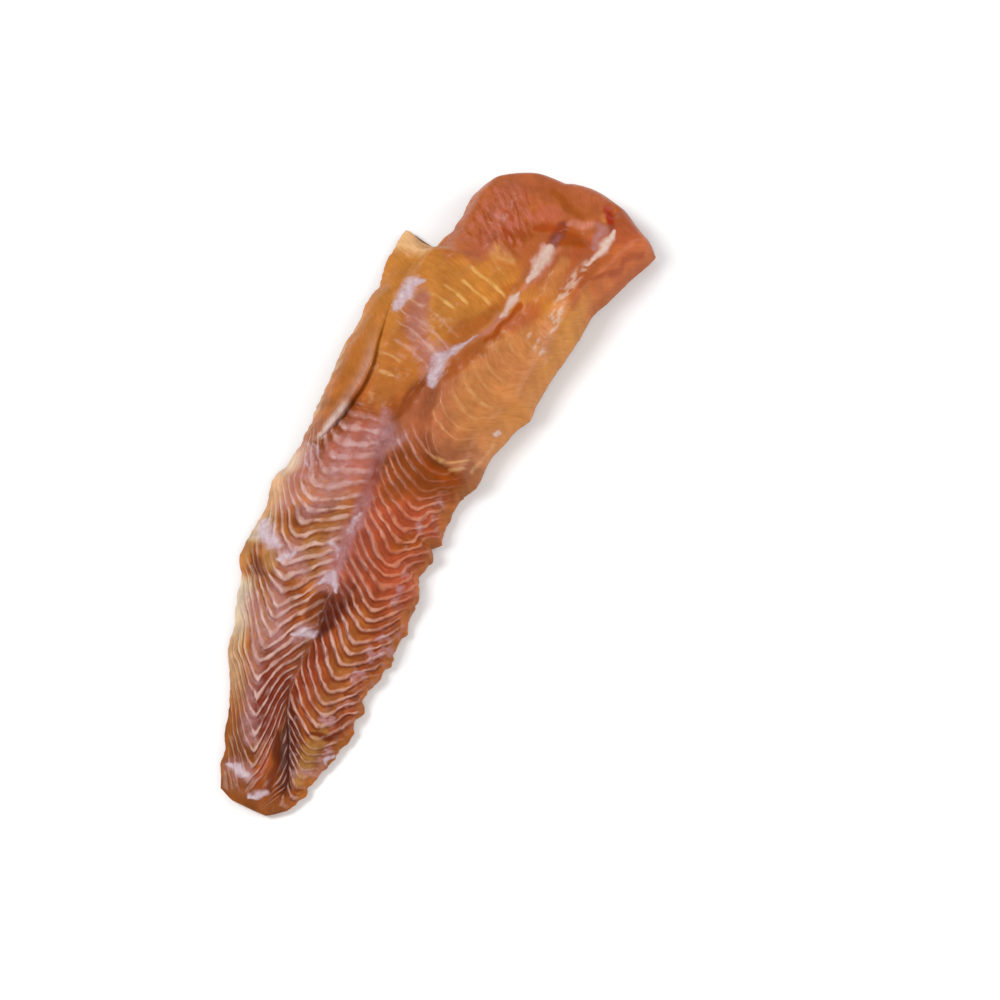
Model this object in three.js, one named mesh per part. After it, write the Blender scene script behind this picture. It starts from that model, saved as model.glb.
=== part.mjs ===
// A catfish fillet: the long boned side of a fish, lying on its flat underside.
// Millimetres. +X runs from the tail to the head end, +Y towards the belly edge, +Z up.
// The flesh is one closed skin. Its rows follow the flakes of muscle, so that the pale
// lines between the flakes are real ridges, and its columns follow the length.
import * as THREE from 'three';

const HALF_LENGTH = 142;
const RIM_HEIGHT = 2.6;
const SIDE_ROUNDING = 6.5;
const END_ROUNDING = 8;
const UNDERSIDE_INSET = 2.4;
const FLAKES = 59;
const RIDGE = 0.5;
const VALLEY_PLACE = 0.34;
const LEAST_HEIGHT = 1.4;

// Where the flesh ends on either side, and where the two rows of muscle meet,
// as (place along the fillet, place across it).
const BELLY_EDGE = [
  [-142, 1], [-140, 2], [-136, 4], [-132, 6.3], [-128, 7.3], [-120, 11.3], [-112, 13.6],
  [-104, 17.6], [-96, 22.8], [-92, 25.3], [-84, 26.8], [-76, 30.6], [-68, 33.3], [-64, 34.5],
  [-60, 38], [-56, 39.3], [-44, 39.6], [-36, 39.6], [-24, 43], [-16, 40.9], [-4, 40.4],
  [4, 41], [16, 42.6], [28, 43.6], [40, 45], [48, 44.4], [60, 45.8], [68, 45], [76, 46.8],
  [84, 47.7], [93, 47.7], [96, 47.2], [96.8, 43], [97.2, 37], [97.9, 32.6], [101, 32],
  [104, 29.6], [110, 29.6], [118, 29.8], [126, 28.4], [134, 25.8], [142, 24],
];
const BACK_EDGE = [
  [-142, -20.5], [-136, -23.6], [-132, -25.6], [-120, -26.5], [-112, -29.3], [-104, -30],
  [-96, -30.3], [-88, -29], [-84, -28.7], [-80, -30], [-68, -31.5], [-60, -30.5], [-52, -29.7],
  [-44, -29], [-40, -27.6], [-36, -25], [-32, -26], [-28, -27.6], [-24, -24.7], [-20, -26.5],
  [-14, -24.2], [-8, -24], [0, -25.5], [7, -28.3], [12, -28], [17, -27.6], [29, -30],
  [36, -31.8], [41, -34.2], [48, -33.6], [62, -34.3], [80, -36], [91, -36.4], [103, -40],
  [112, -42.5], [124, -46.7], [128, -47.7], [142, -47.7],
];
const MIDLINE = [
  [-142, -17], [-131, -19.5], [-125, -17.5], [-114, -12], [-104, -6], [-94, -3.2], [-81, -2.5],
  [-67, -1.5], [-47, 2.6], [-35, 4], [-18, 5.4], [-3, 7.5], [12, 10], [24, 9.2], [34, 8],
  [46, 4.5], [59, -1.8], [70, -6.6], [80, -8.8], [94, -9.8], [104, -10.7], [117, -11.5],
  [130, -11], [142, -10.5],
];

// Where the two ends stop, as (place across: -1 back edge, 0 midline, 1 belly edge; place along).
const TAIL_END = [[-1, -137], [-0.5, -140.2], [0, -141.8], [0.3, -142], [0.7, -142], [1, -139.8]];
const HEAD_END = [
  [-1, 128], [-0.9, 131], [-0.8, 132.4], [-0.7, 134.3], [-0.5, 138.7], [-0.3, 141.2], [-0.1, 142],
  [0.1, 141], [0.2, 139.5], [0.4, 139.3], [0.6, 137.6], [0.8, 134.6], [0.9, 131.5], [1, 124],
];

// How high the flesh stands along five lines, as (place along, height).
const BACK_RIM_HEIGHT = [
  [-142, 3.4], [-90, 5.5], [-30, 7], [0, 8], [30, 11], [70, 13], [110, 13], [142, 10],
];
const BACK_LOIN_HEIGHT = [
  [-142, 4.6], [-120, 7.2], [-90, 10.2], [-60, 12.4], [-30, 14.4], [0, 16], [30, 18.6],
  [60, 20.8], [90, 22.4], [112, 21.8], [128, 19.4], [142, 17],
];
const MIDLINE_HEIGHT = [
  [-142, 4.6], [-120, 7.2], [-90, 10], [-60, 12], [-30, 13.4], [0, 15], [30, 17],
  [60, 18], [90, 19.6], [115, 19.8], [142, 17],
];
const BELLY_HEIGHT = [
  [-142, 4.6], [-120, 7], [-90, 9.8], [-60, 11.4], [-30, 12.6], [0, 13.4], [30, 14],
  [60, 15], [90, 18.4], [115, 20.6], [130, 19.4], [142, 17],
];
const BELLY_RIM_HEIGHT = [
  [-142, 3.2], [-90, 4.4], [-30, 5], [40, 5.4], [80, 5.6], [100, 9], [120, 10], [142, 9],
];

// Each flake bends tailward from the midline to a turn, and headward from there to the edge.
const TURN = 0.52;
const BELLY_DIP = [
  [-142, 7], [-120, 12], [-83, 17], [-68, 13], [-53, 10], [-30, 8], [-13, 5], [2, 3], [30, 0],
  [60, -3], [90, -3], [142, 0],
];
const BELLY_RISE = [
  [-142, 9], [-113, 13], [-83, 19], [-60, 27], [-20, 26], [10, 16], [40, 12], [70, 10],
  [110, 6], [142, 0],
];
const BACK_DIP = [
  [-142, 6], [-110, 12], [-83, 13], [-53, 10], [-43, 12], [-33, 10], [-13, 13], [20, 15],
  [50, 16], [80, 12], [142, 0],
];
const BACK_RISE = [
  [-142, 6], [-83, 10], [-58, 5], [-43, 4], [-20, 11], [0, 13], [30, 10], [70, 6], [142, 0],
];
const FLAKE_LENGTH = [[-142, 3.3], [-115, 3.8], [-90, 4.5], [-60, 5], [20, 5.2], [142, 5]];
const FADE_TAIL = 40;
const FADE_HEAD = 55;

// The thin belly is folded over on itself: this is the fold's free edge, over the middle
// stretch, and elsewhere the line that the mesh keeps for it.
const FOLD_EDGE = [
  [-142, -4], [-60, 26], [-30, 34], [-9, 36.5], [-4, 32.6], [0, 31], [10, 28.9], [21, 27.8],
  [32, 28.8], [40, 31], [48, 33], [60, 34.8], [75, 36.6], [90, 37.5], [100, 24], [142, 16],
];
const FOLD_START = -10;
const FOLD_FULL = 8;
const FOLD_FADE = 58;
const FOLD_STOP = 78;
const FOLD_THICKNESS = 3.4;

// The fold ends headward in a thin pointed tab that stands out past the head end's side.
const TAB_START = 64;
const TAB_FULL = 84;
const TAB_INSIDE = 30;
const TAB_THINNING = 0.62;

// Between the tab and the head end a notch cuts in, and the flesh falls away towards it.
const NOTCH_CUT = { along: 96.5, across: 35.5, depth: 4.6, radius: 6 };
const NOTCH_DENT = { along: 95, across: 31.5, depth: 5.5, radius: 7 };

// The thick loin behind the head ends tailward in a rounded step, part of an ellipse.
const LOIN_CENTRE = [48, -29];
const LOIN_RADII = [48, 29];
const LOIN_STEP = 2.8;

// A dent across the head end, and one along its back corner, as (across, along) and (along, across).
const HEAD_DENT = [
  [-40, 117], [-22, 115], [-15, 115], [-7, 111], [2, 107], [10, 106], [19, 107], [30, 110],
];
const HEAD_DENT_DEPTH = 1.7;
const CORNER_DENT = [
  [50, -17], [60, -19], [80, -23.5], [95, -27], [110, -29], [127, -27], [142, -24],
];
const CORNER_DENT_DEPTH = 1.2;
const GROOVE_DEPTH = [
  [-142, 0.8], [-118, 2.2], [-78, 2.2], [-55, 1.1], [20, 1], [50, 1.5], [85, 1.8], [112, 1],
  [124, 0],
];
const PIT = { along: 131, across: -26.5, depth: 2.2, radius: 3.2 };

// Ragged lumps near the edges, and one small hollow beside the largest, with a depth below 0.
const LUMPS = [
  { along: -62, across: 36, depth: 1.3, radius: 4.5 },
  { along: -69, across: 30, depth: -1.5, radius: 3.5 },
  { along: -29, across: -25.5, depth: 1.6, radius: 3 },
  { along: -22, across: -24.5, depth: 1.2, radius: 3 },
  { along: -68, across: -27, depth: 1.2, radius: 4 },
  { along: -80, across: -27, depth: 0.9, radius: 3 },
  { along: -96, across: -27, depth: 0.9, radius: 3 },
  { along: 1, across: -24, depth: 1.4, radius: 4 },
];

// Columns of the mesh as places across, close together where the sides turn down.
const BACK_COLUMNS = [
  1, 0.985, 0.955, 0.91, 0.84, 0.76, 0.67, 0.58, 0.49, 0.4, 0.31, 0.22, 0.14, 0.08, 0.035,
];
const BELLY_COLUMNS = [
  0, 0.04, 0.09, 0.16, 0.25, 0.34, 0.43, 0.52, 0.61, 0.67, 0.71, 0.77, 0.84, 0.9, 0.95, 0.98, 1,
];
const FOLD_COLUMN = 0.69;
const FLAT_PATCH = { along: [-60, 90], across: [-14, 14] };

function curve(points) {
  // A smooth line through the points that never overshoots them.
  const last = points.length - 1;
  const steps = [];
  for (let i = 0; i < last; i += 1) {
    steps.push((points[i + 1][1] - points[i][1]) / (points[i + 1][0] - points[i][0]));
  }
  const slopes = [steps[0]];
  for (let i = 1; i < last; i += 1) {
    const turns = steps[i - 1] * steps[i] <= 0;
    slopes.push(turns ? 0 : 2 / (1 / steps[i - 1] + 1 / steps[i]));
  }
  slopes.push(steps[last - 1]);
  return (place) => {
    const at = THREE.MathUtils.clamp(place, points[0][0], points[last][0]);
    let i = 0;
    while (i < last - 1 && at > points[i + 1][0]) i += 1;
    const width = points[i + 1][0] - points[i][0];
    const t = (at - points[i][0]) / width;
    const start = (1 + 2 * t) * (1 - t) * (1 - t) * points[i][1];
    const end = t * t * (3 - 2 * t) * points[i + 1][1];
    const leave = t * (1 - t) * (1 - t) * width * slopes[i];
    const arrive = t * t * (t - 1) * width * slopes[i + 1];
    return start + end + leave + arrive;
  };
}

const bellyEdge = curve(BELLY_EDGE);
const backEdge = curve(BACK_EDGE);
const midline = curve(MIDLINE);
const tailEnd = curve(TAIL_END);
const headEnd = curve(HEAD_END);
const backRimHeight = curve(BACK_RIM_HEIGHT);
const backLoinHeight = curve(BACK_LOIN_HEIGHT);
const midlineHeight = curve(MIDLINE_HEIGHT);
const bellyHeight = curve(BELLY_HEIGHT);
const bellyRimHeight = curve(BELLY_RIM_HEIGHT);
const bellyDip = curve(BELLY_DIP);
const bellyRise = curve(BELLY_RISE);
const backDip = curve(BACK_DIP);
const backRise = curve(BACK_RISE);
const foldEdge = curve(FOLD_EDGE);
const headDent = curve(HEAD_DENT);
const cornerDent = curve(CORNER_DENT);
const flakeLength = curve(FLAKE_LENGTH);
const grooveDepth = curve(GROOVE_DEPTH);

function ease(low, high, value) {
  const t = THREE.MathUtils.clamp((value - low) / (high - low), 0, 1);
  return t * t * (3 - 2 * t);
}

function bell(distance, width) {
  return Math.exp(-(distance * distance) / (width * width));
}

function quarterRound(distance, radius) {
  const t = THREE.MathUtils.clamp(distance / radius, 0, 1);
  return Math.sqrt(1 - (1 - t) * (1 - t));
}

function flakeBend(along, across) {
  // How far a flake has run headward from where it leaves the midline.
  const belly = across > 0;
  const dip = belly ? bellyDip(along) : backDip(along);
  const rise = belly ? bellyRise(along) : backRise(along);
  const out = Math.abs(across);
  const calm = ease(0, FADE_TAIL, along + HALF_LENGTH) * ease(0, FADE_HEAD, HALF_LENGTH - along);
  if (out < TURN) return -dip * calm * (1 - Math.pow(1 - out / TURN, 1.6));
  return calm * (-dip + rise * Math.pow((out - TURN) / (1 - TURN), 1.7));
}

function spot(x, y, place) {
  // A soft round spot: its full depth in the middle, nothing well outside its radius.
  return place.depth * bell(Math.hypot(x - place.along, y - place.across), place.radius);
}

function lengthwise(along, across) {
  // How far along the fillet a flake's row is, at a share of the way to an edge.
  const tailShape = (tailEnd(across) + HALF_LENGTH) * (1 - ease(0, FADE_TAIL, along + HALF_LENGTH));
  const headShape = (headEnd(across) - HALF_LENGTH) * (1 - ease(0, FADE_HEAD, HALF_LENGTH - along));
  return along + flakeBend(along, across) + tailShape + headShape;
}

function plan(along, across) {
  // The place on the floor plan. Near the notch a row aims at the edge where it will end.
  const x = lengthwise(along, across);
  const nearNotch = ease(50, 76, along) * (1 - ease(104, 130, along));
  const aim = x + nearNotch * (lengthwise(along, 1) - x);
  const edge = across > 0 ? bellyEdge(aim) : backEdge(x);
  const y = midline(x) + (edge - midline(x)) * Math.abs(across);
  return [x - spot(x, y, NOTCH_CUT), y];
}

function bodyHeight(x, across) {
  // The five height lines joined across the fillet.
  const backRim = backRimHeight(x);
  const loin = backLoinHeight(x);
  const belly = bellyHeight(x);
  const bellyRim = bellyRimHeight(x);
  const section = [
    [-1, backRim],
    [-0.78, THREE.MathUtils.lerp(backRim, loin, 0.67)],
    [-0.45, loin],
    [0, midlineHeight(x)],
    [0.45, belly],
    [0.8, THREE.MathUtils.lerp(bellyRim, belly, 0.58)],
    [1, bellyRim],
  ];
  return curve(section)(across);
}

function foldHeight(x, y) {
  // The folded belly flap: a thick lip along its free edge, thinner towards the outer edge.
  const along = ease(FOLD_START, FOLD_FULL, x) * (1 - ease(FOLD_FADE, FOLD_STOP, x));
  const inside = y - foldEdge(x);
  const lip = ease(-0.5, 0.5, inside);
  const fall = 1 + 0.25 * bell(inside - 3, 3);
  return FOLD_THICKNESS * along * lip * fall;
}

function tabShare(x, y) {
  return ease(TAB_START, TAB_FULL, x) * ease(TAB_INSIDE, TAB_INSIDE + 7, y);
}

function loinHeight(x, y) {
  // How far the loin stands above the flesh tailward of its rounded end.
  const a = Math.min(x - LOIN_CENTRE[0], 0) / LOIN_RADII[0];
  const b = (y - LOIN_CENTRE[1]) / LOIN_RADII[1];
  const fade = 1 - ease(15, 62, x);
  return LOIN_STEP * fade * (1 - ease(0.9, 1.06, Math.hypot(a, b)));
}

function creases(x, y) {
  // The groove where the two rows of muscle meet, and the dents at the head end.
  const middle = grooveDepth(x) * bell(y - midline(x), 2.6);
  const headShare = (1 - ease(6, 28, y)) * ease(-34, -20, y);
  const across = HEAD_DENT_DEPTH * bell(x - headDent(y), 4) * headShare;
  const corner = CORNER_DENT_DEPTH * ease(50, 90, x) * bell(y - cornerDent(x), 3.4);
  return middle + across + corner + spot(x, y, PIT) + spot(x, y, NOTCH_DENT);
}

function lumps(x, y) {
  return LUMPS.reduce((total, lump) => total + spot(x, y, lump), 0);
}

function ridgeStrength(x, across) {
  // Flakes stand proud on the open muscle and die away on the fold, the edges and the head cap.
  const back = across < 0 ? 1 - 0.5 * ease(10, 50, x) : 1;
  const ends = ease(-142, -130, x) * (1 - 0.9 * ease(70, 112, x));
  const sides = 1 - ease(0.84, 1, Math.abs(across));
  return back * ends * sides;
}

function topHeight(x, y, along, across, ridge) {
  const edge = across > 0 ? bellyEdge(x) : backEdge(x);
  const sideDistance = (1 - Math.abs(across)) * Math.abs(edge - midline(x));
  const endDistance = Math.min(along + HALF_LENGTH, HALF_LENGTH - along);
  const side = quarterRound(sideDistance, SIDE_ROUNDING);
  const end = quarterRound(endDistance, END_ROUNDING);
  const fold = foldHeight(x, y);
  const bare = 1 - ease(0.5, 1.5, fold);
  const flesh = bodyHeight(x, across) + loinHeight(x, y) + fold - creases(x, y);
  const relief = ridge * RIDGE * ridgeStrength(x, across) * bare;
  const thinned = 1 - TAB_THINNING * tabShare(x, y);
  const full = Math.max((flesh + relief - RIM_HEIGHT) * thinned, LEAST_HEIGHT);
  return RIM_HEIGHT + full * side * end + lumps(x, y) * side;
}

function flakeRows() {
  // Two rows for each flake: its raised edge, and the hollow just headward of it.
  const edges = [0];
  for (let i = 0; i < FLAKES; i += 1) {
    const share = edges[i] / edges.length;
    const place = (2 * i * HALF_LENGTH) / FLAKES - HALF_LENGTH;
    edges.push(edges[i] + flakeLength(place));
  }
  const scale = (2 * HALF_LENGTH) / edges[FLAKES];
  const rows = [];
  for (let i = 0; i < FLAKES; i += 1) {
    const start = edges[i] * scale - HALF_LENGTH;
    const end = edges[i + 1] * scale - HALF_LENGTH;
    rows.push({ along: start, ridge: 0.5 });
    rows.push({ along: start + VALLEY_PLACE * (end - start), ridge: -0.5 });
  }
  rows.push({ along: HALF_LENGTH, ridge: 0 });
  return rows;
}

function acrossPlaces(along) {
  // The mesh's columns, with one pair drawn to the fold's free edge.
  const guide = (foldEdge(along) - midline(along)) / (bellyEdge(along) - midline(along));
  const places = BACK_COLUMNS.map((share) => -share);
  for (const share of BELLY_COLUMNS) {
    const inner = (share / FOLD_COLUMN) * guide;
    const outer = guide + ((share - FOLD_COLUMN) / (1 - FOLD_COLUMN)) * (1 - guide);
    places.push(share < FOLD_COLUMN ? inner : outer);
  }
  return places;
}

function planArea([ax, ay], [bx, by], [cx, cy]) {
  return ((bx - ax) * (cy - ay) - (cx - ax) * (by - ay)) / 2;
}

function splitCell(points, [a, b, c, d]) {
  // Two triangles for one cell of the mesh, cut along the diagonal that leaves them fuller.
  const area = (i, j, k) => planArea(points[i], points[j], points[k]);
  const first = Math.min(area(a, b, c), area(a, c, d));
  const second = Math.min(area(a, b, d), area(b, c, d));
  return first > second ? [[a, b, c], [a, c, d]] : [[a, b, d], [b, c, d]];
}

function filletGeometry() {
  const points = [];
  const faces = [];
  const rows = flakeRows();
  const columns = BACK_COLUMNS.length + BELLY_COLUMNS.length;
  const grid = rows.map((row) => acrossPlaces(row.along).map((across) => {
    const [x, y] = plan(row.along, across);
    points.push([x, y, topHeight(x, y, row.along, across, row.ridge)]);
    return points.length - 1;
  }));
  for (let i = 0; i < rows.length - 1; i += 1) {
    for (let j = 0; j < columns - 1; j += 1) {
      const cell = [grid[i][j], grid[i + 1][j], grid[i + 1][j + 1], grid[i][j + 1]];
      faces.push(...splitCell(points, cell));
    }
  }

  // The outer ring of the top, walked anticlockwise, and the ring under it on the floor.
  const ring = [];
  for (let i = 0; i < rows.length - 1; i += 1) ring.push([i, 0]);
  for (let j = 0; j < columns - 1; j += 1) ring.push([rows.length - 1, j]);
  for (let i = rows.length - 1; i > 0; i -= 1) ring.push([i, columns - 1]);
  for (let j = columns - 1; j > 0; j -= 1) ring.push([0, j]);
  const lower = ring.map(([i, j]) => {
    const across = acrossPlaces(rows[i].along)[j];
    const [x] = plan(rows[i].along, across);
    const edge = across > 0 ? bellyEdge(x) : backEdge(x);
    const shrunk = across * (1 - UNDERSIDE_INSET / Math.abs(edge - midline(x)));
    const [insideX, insideY] = plan(rows[i].along * (1 - UNDERSIDE_INSET / HALF_LENGTH), shrunk);
    points.push([insideX, insideY, 0]);
    return points.length - 1;
  });
  ring.forEach(([i, j], k) => {
    const next = (k + 1) % ring.length;
    const top = grid[i][j];
    const topNext = grid[ring[next][0]][ring[next][1]];
    faces.push([top, lower[k], lower[next]], [top, lower[next], topNext]);
  });

  // The flat underside, with one plain rectangle in its middle.
  const [[west, east], [south, north]] = [FLAT_PATCH.along, FLAT_PATCH.across];
  const patch = [[west, south], [east, south], [east, north], [west, north]].map(([x, y]) => {
    points.push([x, y, 0]);
    return points.length - 1;
  });
  const flat = (index) => new THREE.Vector2(points[index][0], points[index][1]);
  const order = [...lower, ...[...patch].reverse()];
  const holes = [[...patch].reverse().map(flat)];
  for (const [a, b, c] of THREE.ShapeUtils.triangulateShape(lower.map(flat), holes)) {
    faces.push([order[a], order[c], order[b]]);
  }
  faces.push([patch[0], patch[2], patch[1]], [patch[0], patch[3], patch[2]]);

  const geometry = new THREE.BufferGeometry();
  geometry.setAttribute('position', new THREE.Float32BufferAttribute(points.flat(), 3));
  geometry.setIndex(faces.flat());
  geometry.computeVertexNormals();
  return geometry;
}

const flesh = new THREE.MeshStandardMaterial({ color: 0xbf6f38, roughness: 0.38, metalness: 0 });
const fillet = new THREE.Mesh(filletGeometry(), flesh);
fillet.name = 'fillet';

const group = new THREE.Group();
group.add(fillet);

export default group;
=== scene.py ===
import math

import bpy
import numpy as np
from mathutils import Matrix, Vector


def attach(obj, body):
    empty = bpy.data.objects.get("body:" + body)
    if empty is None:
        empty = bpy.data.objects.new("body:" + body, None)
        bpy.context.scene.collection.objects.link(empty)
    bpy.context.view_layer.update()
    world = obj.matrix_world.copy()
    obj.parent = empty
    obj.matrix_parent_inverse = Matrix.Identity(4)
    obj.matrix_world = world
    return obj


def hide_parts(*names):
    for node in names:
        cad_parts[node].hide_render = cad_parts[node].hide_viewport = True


# A catfish fillet: the long boned side of a fish, cut side up on its flat underside.
# The form is worked out in millimetres, in the frame's own axes: +X from the tail to the
# head end, +Y towards the belly edge, +Z up. The mesh is in metres.

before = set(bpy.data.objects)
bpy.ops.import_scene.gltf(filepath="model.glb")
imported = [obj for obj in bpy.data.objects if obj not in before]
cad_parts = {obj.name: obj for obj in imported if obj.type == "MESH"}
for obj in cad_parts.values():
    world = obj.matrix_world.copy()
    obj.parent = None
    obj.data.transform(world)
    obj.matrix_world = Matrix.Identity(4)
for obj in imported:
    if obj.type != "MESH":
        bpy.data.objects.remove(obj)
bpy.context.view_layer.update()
MM = 0.001


def slopes_of(steps):
    """Slopes at the points of smooth lines that never overshoot them."""
    before, after = steps[:-1], steps[1:]
    together = before * after > 0
    total = np.where(together, before + after, 1)
    inner = np.where(together, 2 * before * after / total, 0)
    return np.concatenate([steps[:1], inner, steps[-1:]])


def smooth_piece(t, width, start, end, leave, arrive):
    """A smooth line's height at the share t between two points, from their heights and slopes."""
    return (
        (1 + 2 * t) * (1 - t) ** 2 * start
        + t * t * (3 - 2 * t) * end
        + t * (1 - t) ** 2 * width * leave
        + t * t * (t - 1) * width * arrive
    )


def curve(points):
    """A smooth line through the points, as a function that takes arrays."""
    places = np.array([point[0] for point in points], float)
    values = np.array([point[1] for point in points], float)
    slopes = slopes_of(np.diff(values) / np.diff(places))

    def at(place):
        place = np.clip(place, places[0], places[-1])
        i = np.clip(np.searchsorted(places, place, side="right") - 1, 0, len(places) - 2)
        width = places[i + 1] - places[i]
        t = (place - places[i]) / width
        return smooth_piece(t, width, values[i], values[i + 1], slopes[i], slopes[i + 1])

    return at


# Overall sizes. The rim runs round the fillet above the table, and the top and the underside
# round over towards it within these distances.
HALF_LENGTH = 142
RIM_HEIGHT = 2.6
RIM_GAP = 0.3
SIDE_ROUNDING = 6.5
END_ROUNDING = 8
UNDERSIDE_ROUNDING = 5
LEAST_HEIGHT = 1.4

# Near an end the mesh's rows take the end's outline and bend less with the flakes. These are
# how far from each end its outline counts, and from where the tail's rows bend in full.
TAIL_SHAPE = 40
HEAD_SHAPE = 55
TAIL_CALM = 80

# The mesh: rows along the fillet, and columns across, which lie closer near the two edges.
ROWS = 472
BACK_COLUMNS = 60
INNER_COLUMNS = 48
LIP_COLUMNS = 8
OUTER_COLUMNS = 34
COLUMNS = BACK_COLUMNS + INNER_COLUMNS + LIP_COLUMNS + OUTER_COLUMNS
BACK_CROWDING = 1.35
OUTER_CROWDING = 1.6
LIP_MARGIN = 0.4

# The search for the fold's free edge on each row: the shares of the belly side that it lies
# between, how often their middle is tried, and over how many rows the result is evened out.
GUIDE_RANGE = (0.2, 0.9)
GUIDE_HALVINGS = 14
GUIDE_ROWS = 9

# The fold's lip, column by column: how far it lies past the fold's free edge on the plain
# flesh, how far it lies past it where the fold stands up, and its share of the fold's height.
LIP_PLAIN = np.array([-1.2, -0.8, -0.45, -0.15, 0.15, 0.45, 0.8, 1.2])
LIP_FOLDED = np.array([-0.9, -0.15, 0.5, 0.45, -0.35, -0.55, -0.2, 0.7])
LIP_SHARE = np.array([-0.06, -0.12, 0.0, 0.3, 0.55, 0.8, 0.97, 1.06])

# Where the flesh ends on either side, and where the two rows of muscle meet. This and each
# table like it is a smooth line through points (along, value), unless its comment says otherwise.
belly_edge = curve([
    (-142, 1), (-140, 2), (-136, 4), (-132, 6.3), (-128, 7.3), (-120, 11.3), (-112, 13.6),
    (-104, 17.6), (-96, 22.8), (-92, 25.3), (-84, 26.8), (-76, 30.6), (-68, 33.3), (-64, 34.5),
    (-60, 38), (-56, 39.3), (-44, 39.6), (-36, 39.6), (-24, 43), (-16, 40.9), (-4, 40.4),
    (4, 41), (16, 42.6), (28, 43.6), (40, 45), (48, 44.4), (60, 45.8), (68, 45), (76, 46.8),
    (84, 47.7), (93, 47.7), (96, 47.2), (96.8, 43), (97.2, 37), (97.9, 32.6), (101, 32),
    (104, 29.6), (110, 29.6), (118, 29.8), (126, 28.4), (134, 25.8), (142, 24),
])
back_edge = curve([
    (-142, -20.5), (-136, -23.6), (-132, -25.6), (-120, -26.5), (-112, -29.3), (-104, -30),
    (-96, -30.3), (-88, -29), (-84, -28.7), (-80, -30), (-68, -31.5), (-60, -30.5),
    (-52, -29.7), (-44, -29), (-40, -27.6), (-36, -25), (-32, -26), (-28, -27.6), (-24, -24.7),
    (-20, -26.5), (-14, -24.2), (-8, -24), (0, -25.5), (7, -28.3), (12, -28), (17, -27.6),
    (29, -30), (36, -31.8), (41, -34.2), (48, -33.6), (62, -34.3), (80, -36), (91, -36.4),
    (103, -40), (112, -42.5), (124, -46.7), (128, -47.7), (142, -47.7),
])
midline = curve([
    (-142, -17), (-131, -19.5), (-125, -17.5), (-114, -12), (-104, -6), (-94, -3.2),
    (-81, -2.5), (-67, -1.5), (-47, 2.6), (-35, 4), (-18, 5.4), (-3, 7.5), (12, 10), (24, 9.2),
    (34, 8), (46, 4.5), (59, -1.8), (70, -6.6), (80, -8.8), (94, -9.8), (104, -10.7),
    (117, -11.5), (130, -11), (142, -10.5),
])

# Where the two ends stop, as (place across: -1 back edge, 0 midline, 1 belly edge; along).
tail_end = curve([
    (-1, -137), (-0.5, -140.2), (0, -141.8), (0.3, -142), (0.7, -142), (1, -139.8),
])
head_end = curve([
    (-1, 128), (-0.9, 131), (-0.8, 132.4), (-0.7, 134.3), (-0.5, 138.7), (-0.3, 141.2),
    (-0.1, 142), (0.1, 141), (0.2, 139.5), (0.4, 139.3), (0.6, 137.6), (0.8, 134.6),
    (0.9, 131.5), (1, 124),
])

# How high the flesh stands along five lines, and where those lines and the two shoulders lie
# across. A shoulder stands up from the rim by its share of the way to the line inside it.
back_rim_height = curve([
    (-142, 3.4), (-90, 5.5), (-30, 7), (0, 8), (30, 11), (70, 13), (110, 13), (142, 10),
])
back_loin_height = curve([
    (-142, 4.6), (-120, 7.2), (-90, 10.2), (-60, 12.4), (-30, 14.4), (0, 16), (30, 18.6),
    (60, 20.8), (90, 22.4), (112, 21.8), (128, 19.4), (142, 17),
])
midline_height = curve([
    (-142, 4.6), (-120, 7.2), (-90, 10), (-60, 12), (-30, 13.4), (0, 15), (30, 17),
    (60, 18), (90, 19.6), (115, 19.8), (142, 17),
])
belly_height = curve([
    (-142, 4.6), (-120, 7), (-90, 9.8), (-60, 11.4), (-30, 12.6), (0, 13.4), (30, 14),
    (60, 15), (90, 18.4), (115, 20.6), (130, 19.4), (142, 17),
])
belly_rim_height = curve([
    (-142, 3.2), (-90, 4.4), (-30, 5), (40, 5.4), (80, 5.6), (100, 9), (120, 10), (142, 9),
])
SECTION = np.array([-1, -0.78, -0.45, 0, 0.45, 0.8, 1])
BACK_SHOULDER = 0.67
BELLY_SHOULDER = 0.58

# Each flake bends tailward from the midline to a turn, and headward from there to the edge:
# how far it goes tailward, its turn's share of the way out, and how far it comes back. A bow
# over 1 bends the inner stretch, and the sweep bends the outer one.
belly_dip = curve([
    (-142, 40), (-120, 38), (-100, 30), (-80, 23), (-60, 20), (-40, 14.5), (-20, 11), (0, 6),
    (20, 0), (30, -3), (40, -7), (60, -9), (80, -11), (142, -14),
])
belly_turn = curve([
    (-142, 0.56), (-90, 0.52), (-60, 0.47), (-30, 0.48), (0, 0.51), (142, 0.5),
])
belly_rise = curve([
    (-142, 8), (-120, 16), (-100, 26), (-80, 31), (-40, 32), (-20, 34), (0, 28), (20, 20),
    (40, 14), (60, 11), (90, 7), (142, 0),
])
back_dip = curve([
    (-142, 2), (-120, 5), (-100, 11), (-80, 16), (-60, 15.5), (-20, 14.5), (0, 14), (20, 19),
    (40, 25), (60, 28), (142, 28),
])
back_turn = curve([
    (-142, 0.55), (-60, 0.53), (-30, 0.57), (0, 0.6), (30, 0.65), (70, 0.72), (142, 0.72),
])
back_rise = curve([
    (-142, 0), (-120, 3), (-100, 12), (-80, 16), (-20, 17), (0, 15), (20, 12), (60, 14),
    (142, 14),
])
BELLY_BOW = 1.12
back_bow = curve([(-142, 1.8), (-110, 1.8), (-50, 1.2), (0, 1.35), (50, 2.2), (142, 2.2)])
SWEEP = 1.7

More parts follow.
